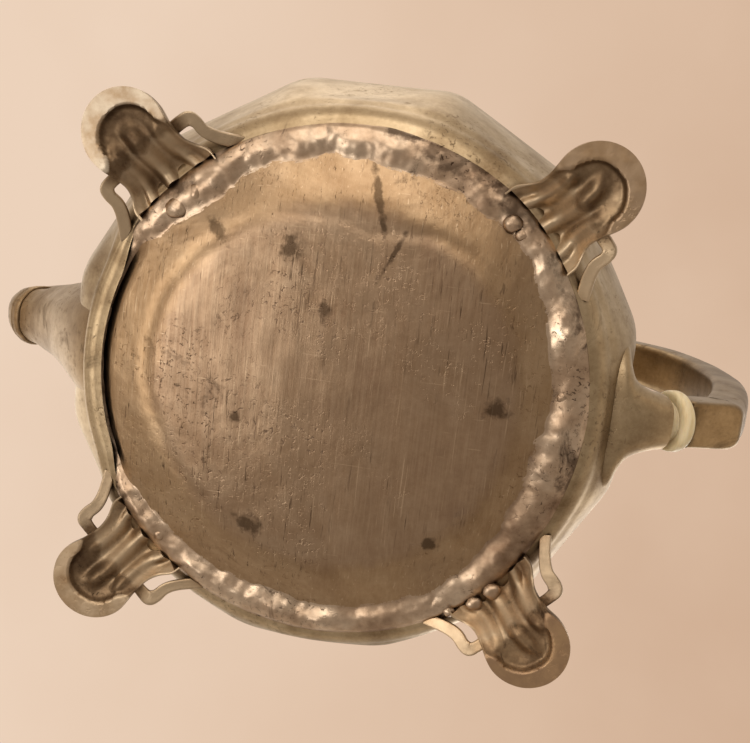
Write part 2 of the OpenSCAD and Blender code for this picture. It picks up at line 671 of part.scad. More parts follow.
finial_z = dome_z + dome_height;
knob_z = finial_z + finial_base_height;
module finial_base() {
    b = dome_top_radius - 0.6;
    h = finial_base_height;
    color(silver) translate([0, 0, finial_z]) rotate_extrude($fn = 64)
        polygon([[screw_radius + 0.1, 0], [b, 0], [b, 1], [b - 1.4, 1.8], [b - 3, h * 0.45],
                 [b - 3, h * 0.6], [b - 1.6, h - 1], [b - 1.2, h], [screw_radius + 0.1, h]]);
}
module finial_knob() {
    r = finial_knob_radius;
    h = finial_knob_height;
    outline = [for (a = [-60:12:84]) [r * cos(a), h * 0.45 + h * 0.5 * sin(a)]];
    color(ivory) translate([0, 0, knob_z]) difference() {
        rotate_extrude($fn = 64) polygon(concat([[0, 0], [4.6, 0]], outline, [[0, h]]));
        translate([0, 0, -1]) cylinder(r = screw_radius + 0.05, h = h * 0.6 + 1, $fn = 32);
    }
}
module finial_screw() {
    low = dome_z + dome_height - lid_wall - 4;
    color(brass) translate([0, 0, low])
        cylinder(r = screw_radius, h = knob_z - low + finial_knob_height * 0.55, $fn = 32);
}
module finial_nut() {
    top = dome_z + dome_height - lid_wall;
    color(brass) translate([0, 0, top - 2.6]) difference() {
        cylinder(r = 4, h = 2.55, $fn = 6);
        translate([0, 0, -1]) cylinder(r = screw_radius + 0.05, h = 5, $fn = 32);
    }
}

body_shell();
neck_rim();
base_plate();
base_solder();
foot_at(0);  // foot_spout_left
foot_at(1);  // foot_handle_left
foot_at(2);  // foot_handle_right
foot_at(3);  // foot_spout_right
spout_lower();
spout_neck();
spout_collar();
handle_lower_socket();
lower_insulator();
lower_dowel();
handle_grip();
upper_dowel();
upper_insulator();
handle_upper_socket();
cross_pins();
hinge_bracket();
hinge_pin();
lid_hinge_leaf();
lid_flange();
lid_dome();
finial_base();
finial_knob();
finial_screw();
finial_nut();
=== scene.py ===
import math

import bpy
from mathutils import Matrix, Vector, noise


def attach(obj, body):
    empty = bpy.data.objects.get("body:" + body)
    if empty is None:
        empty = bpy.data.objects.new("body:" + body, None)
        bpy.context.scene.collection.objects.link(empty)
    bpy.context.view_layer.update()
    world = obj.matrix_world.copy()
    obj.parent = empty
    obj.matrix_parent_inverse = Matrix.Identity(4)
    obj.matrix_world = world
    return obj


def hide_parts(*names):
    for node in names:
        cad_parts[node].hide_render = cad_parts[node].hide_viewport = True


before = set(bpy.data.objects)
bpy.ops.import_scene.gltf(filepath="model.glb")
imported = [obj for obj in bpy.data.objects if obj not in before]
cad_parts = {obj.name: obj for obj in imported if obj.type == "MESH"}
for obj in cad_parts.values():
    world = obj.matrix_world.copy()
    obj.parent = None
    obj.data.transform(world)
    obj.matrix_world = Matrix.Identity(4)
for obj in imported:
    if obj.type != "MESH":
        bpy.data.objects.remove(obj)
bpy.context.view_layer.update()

MM = 0.001


# ---------------------------------------------------------------- small maths

def lerp(a, b, t):
    return a + (b - a) * t


def clamp01(t):
    return max(0.0, min(1.0, t))


def ease(t):
    t = clamp01(t)
    return t * t * (3 - 2 * t)


def wobble(x, y, z, scale, seed=0.0):
    """Smooth noise from about -1 to 1 at a point in millimetres."""
    return noise.noise(Vector((x / scale + seed, y / scale - seed, z / scale + 2 * seed)))


def bezier(p, t):
    """Point at share t of a cubic curve with four control points."""
    q = 1 - t
    k = (q * q * q, 3 * q * q * t, 3 * q * t * t, t * t * t)
    return tuple(sum(k[i] * p[i][c] for i in range(4)) for c in range(2))


def bezier_angle(p, t):
    """Heading of that curve at share t."""
    q = 1 - t
    k = (q * q, 2 * q * t, t * t)
    v = [sum(k[i] * (p[i + 1][c] - p[i][c]) for i in range(3)) for c in range(2)]
    return math.atan2(v[1], v[0])


def smooth_path(points, per):
    """Catmull-Rom points through a short list."""
    pts = [points[0]] + list(points) + [points[-1]]
    out = []
    for i in range(1, len(pts) - 2):
        for s in range(per):
            t = s / per
            p0, p1, p2, p3 = pts[i - 1], pts[i], pts[i + 1], pts[i + 2]
            out.append(tuple(0.5 * (2 * p1[c] + (p2[c] - p0[c]) * t
                                    + (2 * p0[c] - 5 * p1[c] + 4 * p2[c] - p3[c]) * t * t
                                    + (3 * p1[c] - p0[c] - 3 * p2[c] + p3[c]) * t ** 3)
                             for c in range(len(points[0]))))
    out.append(tuple(points[-1]))
    return out


def table(rows, x):
    """Straight-line value at x in rows of (x, value)."""
    for (a, p), (b, q) in zip(rows, rows[1:]):
        if x <= b:
            return lerp(p, q, clamp01((x - a) / (b - a)))
    return rows[-1][1]


def turns(count):
    """Evenly spaced angles all the way round."""
    return [2 * math.pi * j / count for j in range(count)]


def polar(r, a, z):
    return (r * math.cos(a), r * math.sin(a), z)


def bevelled(a, b, flat_a, flat_b):
    """Eight corners of a section: half-width a, half-thickness b."""
    return [(a * flat_a, b), (a, b * flat_b), (a, -b * flat_b), (a * flat_a, -b),
            (-a * flat_a, -b), (-a, -b * flat_b), (-a, b * flat_b), (-a * flat_a, b)]


def rounded(ring, share, per_corner=3):
    """A closed ring with each corner turned over a share of its shorter side."""
    out = []
    n = len(ring)
    for i in range(n):
        p, c, q = ring[i - 1], ring[i], ring[(i + 1) % n]
        for k in range(per_corner):
            t = (k + 0.5) / per_corner
            a = [lerp(c[j], p[j], share * (1 - t)) for j in range(2)]
            b = [lerp(c[j], q[j], share * t) for j in range(2)]
            out.append([lerp(a[j], b[j], t) for j in range(2)])
    return out


def across(ring, at, angle):
    """The ring set across a path in the XZ plane."""
    return [(at[0] + p[1] * math.sin(angle), p[0], at[1] - p[1] * math.cos(angle)) for p in ring]


# ---------------------------------------------------------------- mesh helpers

def new_object(name, verts, faces, smooth_angle=40):
    mesh = bpy.data.meshes.new(name)
    mesh.from_pydata([(x * MM, y * MM, z * MM) for x, y, z in verts], [], faces)
    mesh.validate()
    obj = bpy.data.objects.new(name, mesh)
    bpy.context.scene.collection.objects.link(obj)
    smooth(obj, smooth_angle)
    return obj


def smooth(obj, degrees):
    mesh = obj.data
    mesh.polygons.foreach_set("use_smooth", [True] * len(mesh.polygons))
    if degrees < 180:
        mesh.set_sharp_from_angle(angle=math.radians(degrees))
    mesh.update()


def stacked(parts, loop=False):
    """Vertices and faces of one or more stacks of rings, closed by end caps or, in a loop, to itself."""
    verts, faces = [], []
    for rings in parts:
        base, m, n = len(verts), len(rings[0]), len(rings)
        verts += [p for ring in rings for p in ring]
        for i in range(n if loop else n - 1):
            this, following = base + i * m, base + (i + 1) % n * m
            for j in range(m):
                k = (j + 1) % m
                faces.append((this + j, this + k, following + k, following + j))
        if not loop:
            faces.append(tuple(base + j for j in reversed(range(m))))
            faces.append(tuple(base + (n - 1) * m + j for j in range(m)))
    return verts, faces


def loft(name, rings, loop=False, smooth_angle=40):
    return new_object(name, *stacked([rings], loop), smooth_angle)


def trimmed(obj, cutter, smooth_angle=40):
    """Cuts the cutter's space out of the object for good, and removes the cutter."""
    mod = obj.modifiers.new("trim", "BOOLEAN")
    mod.operation = "DIFFERENCE"
    mod.solver = "EXACT"
    mod.object = cutter
    bpy.context.view_layer.update()
    result = bpy.data.meshes.new_from_object(obj.evaluated_get(bpy.context.evaluated_depsgraph_get()))
    obj.modifiers.clear()
    obj.data = result
    bpy.data.objects.remove(cutter)
    smooth(obj, smooth_angle)
    return obj


def adopt(obj, body, slot, material, *replaced):
    """Hangs a finished piece on its CAD body and gives it its finish."""
    obj.data.materials.clear()
    obj.data.materials.append(material)
    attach(obj, body)
    if replaced:
        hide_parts(*replaced)
    return obj


# ---------------------------------------------------------------- the pot's sizes, as in the CAD model

BASE_Z, BASE_R = 9.5, 56.0
BELLY_Z, BELLY_R = 48.0, 71.0
NECK_Z, NECK_R = 146.0, 37.0
TOP_Z, MOUTH_R = 178.0, 41.0
WALL = 1.3
PLATE_R = 54.4
PANELS = 12
HALF = math.pi / PANELS
BOWL_POWER = 1.25
PANEL_BLEND = 12
# share of a half panel that is flat, and share that the soft arris takes
PANEL_FLAT, ARRIS = 0.78, 0.22
STRAINER_Z, STRAINER_PITCH, STRAINER_R = 40, 4.2, 1.2
# how far the pieces soldered on the body reach under the outside of its wall
SEAT = 0.7
# the pieces on the lower body are trimmed from this height up
TRIM_Z = BASE_Z - 2.3


def bowl(angle):
    return (BASE_Z + (BELLY_Z - BASE_Z) * (1 - math.cos(angle) ** BOWL_POWER),
            BASE_R + (BELLY_R - BASE_R) * math.sin(angle) ** BOWL_POWER)


def shoulder(t):
    return (lerp(BELLY_Z, NECK_Z, t),
            lerp(NECK_R, BELLY_R, 0.5 + 0.5 * math.cos(math.pi * t ** 1.1)))


def flare(t):
    return (lerp(NECK_Z, TOP_Z, t), lerp(NECK_R, MOUTH_R, t * t))


def stations(low, middle, high):
    """Height and radius up the body, with a number of steps for each of its three curves."""
    return ([bowl(math.pi / 2 * i / low) for i in range(low + 1)]
            + [shoulder(i / middle) for i in range(1, middle + 1)]
            + [flare(i / high) for i in range(1, high + 1)])


COARSE = stations(18, 40, 8)


def panelled(z):
    """0 where the body is round, at its foot and mouth, and 1 where it has its panels."""
    return min(ease((z - BASE_Z) / PANEL_BLEND), ease((TOP_Z - 2 - z) / PANEL_BLEND))


def panel_radius(r, share, angle):
    """Distance from the axis of a ring that is round at share 0 and twelve-sided at 1."""
    off = abs((angle + HALF) % (2 * HALF) - HALF)
    soft = 0.5 * max(0.0, (off - PANEL_FLAT * HALF) / (ARRIS * HALF)) ** 2
    return lerp(r, r * math.cos(HALF) / math.cos(off) - soft, share)


def bent(x, y, z):
    """The old pot leans a little at the belly and its rim is squeezed in behind."""
    lean = 1.4 * ease((z - BASE_Z) / 36) * (1 - ease((z - 60) / 60))
    squeeze = 1.7 * ease((-x - 30) / 25) * (1 - ease((z - BASE_Z) / 14))
    return (x + lean + squeeze, y, z)


def dent(x, y, z):
    """Shallow waves and knocks in the sheet, in millimetres."""
    return (-0.1 + 0.24 * wobble(x, y, z, 26, 3.1) + 0.09 * wobble(x, y, z, 11, 7.7)
            - 0.5 * math.exp(-((x - 2) ** 2 + (y - 64) ** 2 + (z - 26) ** 2) / 60)
            - 0.6 * math.exp(-((x + 52) ** 2 + (y - 42) ** 2 + (z - 40) ** 2) / 90))


def by_spout(a):
    """1 where the rim shows no solder, beside the spout, and 0 elsewhere."""
    deg = math.degrees(a) % 360
    return ease((34 - min(deg, 360 - deg)) / 14)


RIM_LIP = 1.7
# height, depth and half-height of the groove above the rim, and of the hollow under the spout
GROOVE_Z, GROOVE_DEPTH, GROOVE_HALF = 13.2, 0.4, 1.1
HOLLOW_Z, HOLLOW_DEPTH, HOLLOW_HALF = 13.5, 2.5, 3.6


def shell_ring(z, r, share, count, worn=True, lip=0.0):
    """One ring of the body's wall; worn adds the dents, and lip draws the rim in by the spout."""
    ring = []
    for a in turns(count):
        q = panel_radius(r, share, a) - lip * by_spout(a)
        q -= HOLLOW_DEPTH * by_spout(a) * math.exp(-((z - HOLLOW_Z) / HOLLOW_HALF) ** 2)
        if worn:
            q += dent(*polar(q, a, z)) * ease((z - BASE_Z - 1) / 6) * ease((TOP_Z - 6 - z) / 10)
            q -= GROOVE_DEPTH * math.exp(-((z - GROOVE_Z) / GROOVE_HALF) ** 2)
        ring.append(bent(*polar(q, a, z)))
    return ring


def envelope(low, high):
    """The space inside the shell between two heights, to trim pieces that are soldered on it."""
    rows = [s for s in COARSE if low <= s[0] <= high]
    if low < BASE_Z:
        rows = [(low, BASE_R)] + rows
    return loft("envelope", [shell_ring(z, r - SEAT, panelled(z), 144, worn=False) for z, r in rows])


def strainer_drills():
    """A short rod for each hole of the strainer, in staggered rows behind the spout."""
    drills = []
    for row in range(-2, 3):
        holes = 5 - abs(row)
        z = STRAINER_Z + row * STRAINER_PITCH * math.sin(math.radians(60))
        for i in range(holes):
            y = (i - (holes - 1) / 2) * STRAINER_PITCH
            ring = [(62, y + STRAINER_R * math.cos(a), z + STRAINER_R * math.sin(a)) for a in turns(16)]
            drills.append([ring, [(p[0] + 14, p[1], p[2]) for p in ring]])
    return new_object("drills", *stacked(drills))


def body_shell():
    count = 288
    rows = stations(34, 66, 22)
    inside = [shell_ring(z, r - WALL, panelled(z), count, lip=RIM_LIP * ease((BASE_Z + 2.2 - z) / 1.2))
              for z, r in reversed(rows)]
    rim = [shell_ring(BASE_Z + 0.05, BASE_R - 1.05, 0, count, lip=RIM_LIP),
           shell_ring(BASE_Z - 0.25, BASE_R - 0.75, 0, count, lip=1.1),
           shell_ring(BASE_Z - 0.15, BASE_R - 0.3, 0, count)]
    outside = [shell_ring(z, r, panelled(z), count) for z, r in rows]
    shell = loft("body_shell_fine", inside + rim + outside, loop=True, smooth_angle=50)
    return trimmed(shell, strainer_drills(), 50)


# ---------------------------------------------------------------- base

# height of the plate's underside by its radius, before the crease
FLANK = [(0, 5.5), (38, 5.65), (41, 6.1), (49, 8.54), (52.7, 9.5), (PLATE_R, 9.6)]
# radius of the crease by the angle round the base, in degrees
CREASE = [(0, 40.0), (8, 40.3), (21, 41.2), (35, 40.0), (52, 39.0), (65, 38.6), (83, 35.6), (98, 33.6),
          (116, 37.6), (129, 39.6), (147, 39.8), (166, 40.4), (183, 41.8), (197, 43.6), (218, 43.8),
          (242, 40.3), (275, 37.3), (311, 36.8), (339, 38.2), (360, 40.0)]
# how much further in the edge of the plate, and of the solder, lies beside the spout
PLATE_RISE, SOLDER_RISE = 2.6, 2.2


def plate_z(r, a):
    """Underside of the base plate: a domed middle, a ragged crease, and the rising flank."""
    z = sum(table(FLANK, r + d) for d in (-2.4, -1.2, 0, 1.2, 2.4)) / 5
    if r > PLATE_R - 2.4:
        z = min(z, 9.6)
    deg = math.degrees(a) % 360
    x, y, _ = polar(r, a, 0)
    crease = table(CREASE, deg) + 0.7 * wobble(*polar(40, a, 0), 9, 5)
    inside = clamp01((crease - r) / crease)
    z -= 0.7 * (1 - (1 - inside) ** 2.0) + 0.14 * ease((crease - r + 0.8) / 3.0)
    z += 0.13 * math.exp(-((r - crease - 1.2) / 1.3) ** 2)
    z += 0.20 * wobble(x, y, 0, 23, 1.3) + 0.09 * wobble(x, y, 0, 8, 4.2) + 0.035 * wobble(x, y, 0, 3, 9.4)
    return z + PLATE_RISE * by_spout(a) * ease((r - 49.5) / 3.5)


def base_plate():
    count, steps = 360, 74
    rings = []
    for i in range(1, steps + 1):
        r = PLATE_R * (i / steps) ** 0.85
        rings.append([bent(*polar(r, a, plate_z(r, a))) for a in turns(count)])
    over = [[(x, y, z + WALL) for x, y, z in ring] for ring in reversed(rings)]
    return loft("base_plate_fine", rings + over, smooth_angle=50)


# angle round the base in degrees, and width and height of the solder there
SOLDER = [(0, 0.9, 0.3), (18, 1.2, 0.4), (30, 3.0, 0.9), (40, 5.2, 1.5), (52, 6.2, 1.7), (66, 5.0, 1.3),
          (84, 4.2, 1.1), (100, 5.4, 1.2), (112, 5.6, 1.2), (124, 4.6, 1.3), (136, 4.4, 1.5),
          (150, 5.0, 1.5), (160, 6.2, 1.8), (174, 5.8, 1.6), (186, 7.4, 1.5), (200, 8.2, 1.5),
          (212, 7.0, 1.6), (226, 5.4, 1.8), (242, 4.4, 1.4), (262, 4.8, 1.8), (276, 5.2, 1.8),
          (292, 4.4, 1.5), (310, 4.2, 1.4), (326, 3.0, 1.0), (342, 1.3, 0.5), (360, 0.9, 0.3)]
SOLDER_WIDTH = [(deg, width) for deg, width, _ in SOLDER]
SOLDER_HEIGHT = [(deg, height) for deg, _, height in SOLDER]
SOLDER_R = 55.75


def base_solder():
    """A lumpy bead round the plate, run by hand, that thins out and draws in beside the spout."""
    count, steps = 900, 22
    rings = [[] for _ in range(steps + 2)]
    for a in turns(count):
        deg = math.degrees(a)
        near_edge = polar(55, a, 0)
        width = table(SOLDER_WIDTH, deg)
        high = table(SOLDER_HEIGHT, deg)
        width *= 1 + 0.22 * wobble(*near_edge, 7, 2.2) + 0.12 * wobble(*near_edge, 2.6, 8.1)
        rise = SOLDER_RISE * by_spout(a)
        outer = SOLDER_R - 1.4 * by_spout(a)
        inner = min(outer - 0.8, 53.6 - 1.15 * width)
        lump = 1 + 0.55 * wobble(*near_edge, 9, 6.6)
        for i in range(steps):
            t = i / (steps - 1)
            r = lerp(inner, outer, t)
            x, y, _ = polar(r, a, 0)
            near, _ = noise.voronoi(Vector((x / 8.5 + 0.5 * wobble(x, y, 0, 5), y / 8.5, 0.3)))
            round_top = math.sqrt(max(0.0, 1 - min(1.0, near[0] * 1.15) ** 2))
            shape = ease(t / 0.55) if t < 0.55 else math.sin(math.pi * (0.5 + (t - 0.55) / 0.9)) ** 0.6
            h = high * lump * shape * (0.72 + 0.42 * round_top) - 0.15 * (1 - t)
            h += (0.2 * wobble(x, y, 0, 3.1, 3.3) + 0.12 * wobble(x, y, 0, 1.4, 7.3)) * math.sin(math.pi * t)
            under = min(plate_z(min(r, PLATE_R), a), 9.7) + (0.12 if i == 0 else 0)
            z = under - max(0.0, h)
            if t > 0.86:
                z = max(z, lerp(z, BASE_Z - 0.1, (t - 0.86) / 0.14))
            rings[i].append(bent(x, y, z + rise))
        top = plate_z(inner, a) + 0.5
        rings[steps].append(bent(*polar(outer, a, BASE_Z + 0.6 + rise)))
        rings[steps + 1].append(bent(*polar(inner, a, top + 0.6 * by_spout(a))))
    return loft("base_solder_fine", [list(reversed(r)) for r in rings], loop=True, smooth_angle=70)


# place and radius of the beads of solder that ran beside the feet
DROPS = [(-35.9, -43.0, 1.7), (-39.6, -39.4, 2.1), (-32.6, 39.2, 1.9), (-34.8, 37.2, 1.3),
         (33.5, 38.0, 1.9), (37.6, 34.2, 2.1), (30.0, 42.0, 1.5), (-30.5, -45.8, 1.2),
         (36.0, -38.5, 1.1), (-47.6, 17.0, 1.6), (-46.9, 20.6, 1.3), (-49.2, 5.0, 1.4)]
DROP_Z = 8.7


def drops():
    """Flattened, uneven balls, all in one mesh."""
    around, down = 20, 10
    verts, faces = [], []
    for px, py, size in DROPS:
        base = len(verts)
        for i in range(down + 1):
            lat = math.pi * i / down
            for lon in turns(around):
                d = Vector((math.sin(lat) * math.cos(lon), math.sin(lat) * math.sin(lon), math.cos(lat)))
                k = size * (1 + 0.25 * wobble(d.x * 10 + px, d.y * 10 + py, d.z * 10, 9))
                verts.append(bent(px + k * d.x * 1.15, py + k * d.y, DROP_Z + k * 0.75 * d.z))
        for i in range(down):
            for j in range(around):
                a, b = base + i * around + j, base + i * around + (j + 1) % around
                faces.append((a, a + around, b + around, b))
    return new_object("solder_drops", verts, faces, 180)


# ---------------------------------------------------------------- feet

# a foot is made along +X: u is the distance from the pot's axis, t the distance to the side
TOE, TOE_R, NECK_W, HEEL = 76.0, 9.0, 8.0, 53.0
TOE_C = TOE - TOE_R
TOE_TIP_Z, SOLE_Z, DISH_R = 2.6, 0.3, 6.4


def foot_half(u):
    """Half-width: a round toe, a narrower neck, and a spread heel."""
    if u > TOE_C:
        return math.sqrt(max(0.0, TOE_R ** 2 - (u - TOE_C) ** 2))
    return lerp(TOE_R, NECK_W, ease((TOE_C - u) / 6)) + 2.6 * ease((BASE_R + 4.5 - u) / 6)


def foot_crest(u):
    return lerp(TOE_TIP_Z, BASE_Z + 13, clamp01((TOE - u) / (TOE - HEEL)) ** 1.15)


def foot_low(u):
    return SOLE_Z + (BASE_Z - 2.4 - SOLE_Z) * ease((TOE_C - 2.5 - u) / (TOE_C - 3.5 - BASE_R))


def foot_top(u, t):
    w = max(foot_half(u), 0.2)
    v = clamp01(abs(t) / w)
    edge = min(foot_low(u) + 1.9, foot_crest(u))
    groove = min(1.8, 0.6 * (foot_crest(u) - TOE_TIP_Z)) * ease((TOE - 2 - u) / 5)
    return (lerp(edge, foot_crest(u), (1 - v ** 2.6) ** 0.75)
            - groove * math.exp(-(t / 1.5) ** 2))


def fold(t, half):
    """A rounded ridge of a half-width, from 0 at its sides to 1 on top."""
    return 0.5 + 0.5 * math.cos(math.pi * min(1.0, abs(t) / half)) if abs(t) < half else 0.0


def foot_under(u, t, k):
    """Hollow underside: a crisp worn sole, a dished toe, and long rounded folds."""
    low = foot_low(u)
    dish_u = TOE_C - 1.2
    if u > dish_u:
        inside = DISH_R - math.hypot(u - dish_u, t - 0.3)
    else:
        half = lerp(DISH_R, foot_half(u) - 0.5, ease((dish_u - u) / 3.5))
        inside = half - abs(t - 0.3 * ease((u - 60) / 6))
    inside += 0.22 * wobble(u, t, k * 9.0, 3.4)
    share = clamp01(inside / lerp(0.7, 2.2, ease((dish_u - u) / 4))) ** 0.7
    roof = foot_top(u, t) - 1.1
    floor = min(roof, low + 1.7 + 1.3 * ease(inside / 5))
    side = 0.56 * foot_half(u)
    skew = 0.5 * math.sin(u * 0.3 + k)
    middle = 2.2 * ease((71.0 + 0.5 * math.sin(k * 5) - u) / 4.5) * fold(t - skew, 2.9)
    left = 1.7 * ease((67.5 + 0.8 * math.sin(k * 3) - u) / 4) * fold(t + side, 2.3)
    right = 1.5 * ease((66.5 - u) / 5) * fold(t - side - 0.2, 2.3)
    floor -= max(middle, left, right)
    floor += 0.2 * wobble(u * 0.45, t * 1.3, k * 5.0, 2.0) + 0.07 * wobble(u * 0.6, t * 1.5, k * 5.0, 0.8)
    return max(low, lerp(low, floor, share)) + 0.05 * wobble(u, t, k * 3.0, 2.0)


def foot_rings(k):
    """The casting as a closed height field, ring by ring from toe to heel."""
    cols, rows = 54, 84
    rings = []
    for i in range(rows + 1):
        u = TOE - 0.02 - (TOE - HEEL) * ((i / rows) ** 1.25)
        upper, lower = [], []
        for j in range(cols + 1):
            v = math.sin(math.pi / 2 * (2 * j / cols - 1))
            t = foot_half(u) * v
            low = foot_under(u, t, k)
            high = max(foot_top(u, t), foot_low(u) + 1.0)
            if abs(v) > 0.985:
                low += 0.25
                high -= 0.25
            upper.append((u, t, high))
            lower.append((u, t, low))
        rings.append(lower + list(reversed(upper)))
    return rings


# middle line of a strap, towards the toe and out to the side, its slope and its half-thickness
STRAP = [(-1.7, 6.4), (-1.7, 9.6), (-2.1, 11.3), (-3.5, 12.0), (-6.0, 12.1), (-8.8, 13.4), (-12.8, 16.4)]
LOOSE_STRAP = [(-1.7, 6.4), (-1.6, 9.8), (-2.1, 11.8), (-3.6, 12.3), (-5.8, 12.3), (-7.8, 13.8),
               (-8.8, 16.4)]
STRAP_SLOPE, STRAP_HALF = math.radians(24), 0.75


def strap_rings(side, k, loose):
    """Bent strap on one side of the foot (side is +1 or -1); a loose one has come off the body."""
    points = smooth_path(LOOSE_STRAP if loose else STRAP, 7)
    rings = []
    for i, (x, y) in enumerate(points):
        a = points[max(0, i - 1)]
        b = points[min(len(points) - 1, i + 1)]
        run = Vector((b[0] - a[0], b[1] - a[1])).normalized()
        over = Vector((-run.y, run.x))
        t = i / (len(points) - 1)
        half = 1.3 + 0.1 * math.sin(7 * t + k) + 0.25 * math.exp(-((t - 0.36) / 0.12) ** 2)
        lift = 0.5 * math.sin(math.pi * t) + (1.4 * t * t if loose else 0.0)
        ring = []
        for p, q in rounded(bevelled(half, STRAP_HALF, 0.84, 0.7), 0.3, 2):
            scoop = 0.2 * (1 - (p / half) ** 2) if q < 0 else 0.0
            sx, sy, sz = x + over.x * p, y + over.y * p, 0.85 + q + scoop - lift
            u = (TOE - 12) + sx * math.cos(STRAP_SLOPE) + sz * math.sin(STRAP_SLOPE)
            z = (BASE_Z - 5.4) - sx * math.sin(STRAP_SLOPE) + sz * math.cos(STRAP_SLOPE)
            ring.append((u, side * sy, z))
        rings.append(ring if side > 0 else list(reversed(ring)))
    return rings


def foot(name, degrees, k, loose):
    """Casting and straps in one mesh, turned to its place; loose is the side of a sprung strap."""
    a = math.radians(degrees)
    parts = [foot_rings(k), strap_rings(1, k, loose == 1), strap_rings(-1, k + 1, loose == -1)]
    placed = [[[(u * math.cos(a) - t * math.sin(a), u * math.sin(a) + t * math.cos(a), z) for u, t, z in ring]
               for ring in rings] for rings in parts]
    obj = new_object(name, *stacked(placed), 60)
    return trimmed(obj, envelope(TRIM_Z, 80), 60)


# ---------------------------------------------------------------- spout

SPOUT_X, SPOUT_Z, SPOUT_JOINT, SPOUT_MOUTH = 88.6, 54.7, 7.4, 5.0
SPOUT_WALL = 1.2
JOINT_TURN = math.radians(22)
REACH = 102.5


def spout_paths():
    """Underside of the lower spout, and middle line of the upper one, as cubic curves."""
    c, s = math.cos(JOINT_TURN), math.sin(JOINT_TURN)
    under = (SPOUT_X + SPOUT_JOINT * s, SPOUT_Z - SPOUT_JOINT * c)
    low = [(53.5, 10.6), (65.5, 13.0), (under[0] - 12 * c, under[1] - 12 * s), under]
    lead_x, lead_z = 16, 62
    mouth = (REACH - SPOUT_MOUTH * math.sin(math.atan2(lead_z, lead_x)), 172.0)
    high = [(SPOUT_X, SPOUT_Z), (SPOUT_X + 13 * c, SPOUT_Z + 13 * s),
            (mouth[0] - lead_x, mouth[1] - lead_z), mouth]
    return low, high


LOW_PATH, HIGH_PATH = spout_paths()


def section(half_a, half_b, flat_a, flat_b, turn=0.42):
    """Eight flats with turned corners."""
    return rounded(bevelled(half_a, half_b, flat_a, flat_b), turn, 4)


# half-width of the lower spout by the distance of its underside from the pot's axis
LOW_HALF = [(50, 21.0), (58, 19.6), (62, 18.0), (66, 15.8), (71, 13.8), (76, 12.2), (82, 10.6), (88, 9.0),
            (92, 7.9), (95, SPOUT_JOINT)]


def spout_low_ring(t, shrink):
    angle = bezier_angle(LOW_PATH, t)
    at = bezier(LOW_PATH, t)
    half = sum(table(LOW_HALF, at[0] + d) for d in (-2, 0, 2)) / 3
    half = lerp(half, SPOUT_JOINT, ease((t - 0.85) / 0.15))
    middle = (at[0] - half * math.sin(angle), at[1] + half * math.cos(angle))
    ring = section(half - shrink, half - shrink, lerp(0.55, 0.46, t), lerp(0.3, 0.46, t))
    return [(x, y + 0.9 * math.sin(math.pi * t) ** 2, z) for x, y, z in across(ring, middle, angle)]


def spout_high_ring(t, shrink):
    half = lerp(SPOUT_JOINT, SPOUT_MOUTH, t ** 0.75) + 0.3 * math.sin(math.pi * clamp01(t * 4.5))
    return across(section(half - shrink, half - shrink, 0.46, 0.46), bezier(HIGH_PATH, t),
                  bezier_angle(HIGH_PATH, t))


def knocked(rings, size, seed):
    """The rings with small waves, so that the sheet doesn't look new."""
    return [[(x + size * wobble(x, y, z, 13, seed), y + size * wobble(y, z, x, 11, seed + 2),
              z + size * wobble(z, x, y, 12, seed + 4)) for x, y, z in ring] for ring in rings]


def spout_lower():
    steps = [i / 44 for i in range(45)]
    outer = [spout_low_ring(t, 0) for t in steps]
    inner = [spout_low_ring(t, SPOUT_WALL) for t in reversed(steps)]
    obj = loft("spout_lower_fine", knocked(outer + inner, 0.22, 2.0), loop=True, smooth_angle=50)
    return trimmed(obj, envelope(TRIM_Z, 84), 50)


def spout_neck():
    steps = [i / 70 for i in range(71)]
    outer = [spout_high_ring(t, 0) for t in steps] + [spout_high_ring(1, 0.25)]
    outer[70] = spout_high_ring(0.998, 0)
    inner = [spout_high_ring(1, 0.95)] + [spout_high_ring(t, SPOUT_WALL) for t in reversed(steps)]
    return loft("spout_neck_fine", knocked(outer + inner, 0.14, 5.0), loop=True, smooth_angle=50)


def spout_collar():
    """The raised seam: rows of place along the upper spout, and height over its wall."""
    rows = [(0.0, 0.1), (0.002, 0.45), (0.006, 0.62), (0.012, 0.7), (0.018, 0.62), (0.022, 0.5),
            (0.028, 0.68), (0.034, 0.5), (0.038, 0.1)]
    rings = [spout_high_ring(t, -g) for t, g in rows] + [spout_high_ring(t, 0.3) for t in (0.038, 0.0)]
    return loft("spout_collar_fine", knocked(rings, 0.14, 5.0), loop=True, smooth_angle=50)


# ---------------------------------------------------------------- handle

LOWER_RISE, UPPER_RISE = math.radians(25), math.radians(6)
LOWER_OUT = (-math.cos(LOWER_RISE), math.sin(LOWER_RISE))
UPPER_OUT = (-math.cos(UPPER_RISE), -math.sin(UPPER_RISE))
LOWER_RING, UPPER_RING = (-74.2, 25.0), (-57.5, 138.0)
# an insulating ring and its spigot reach this far from the ring's middle
RING_HALF, SPIGOT_END = 1.5, -3.9
GRIP_W, GRIP_T = 5.3, 4.6
HEEL_ARM, HEEL_LEAN = 11.9, math.radians(22)
# how much wider the back of the grip is, and how far it has been bent to the side
BACK_WIDER, BACK_SHIFT = 0.30, -1.5


def along(at, out, d):
    return (at[0] + out[0] * d, at[1] + out[1] * d)


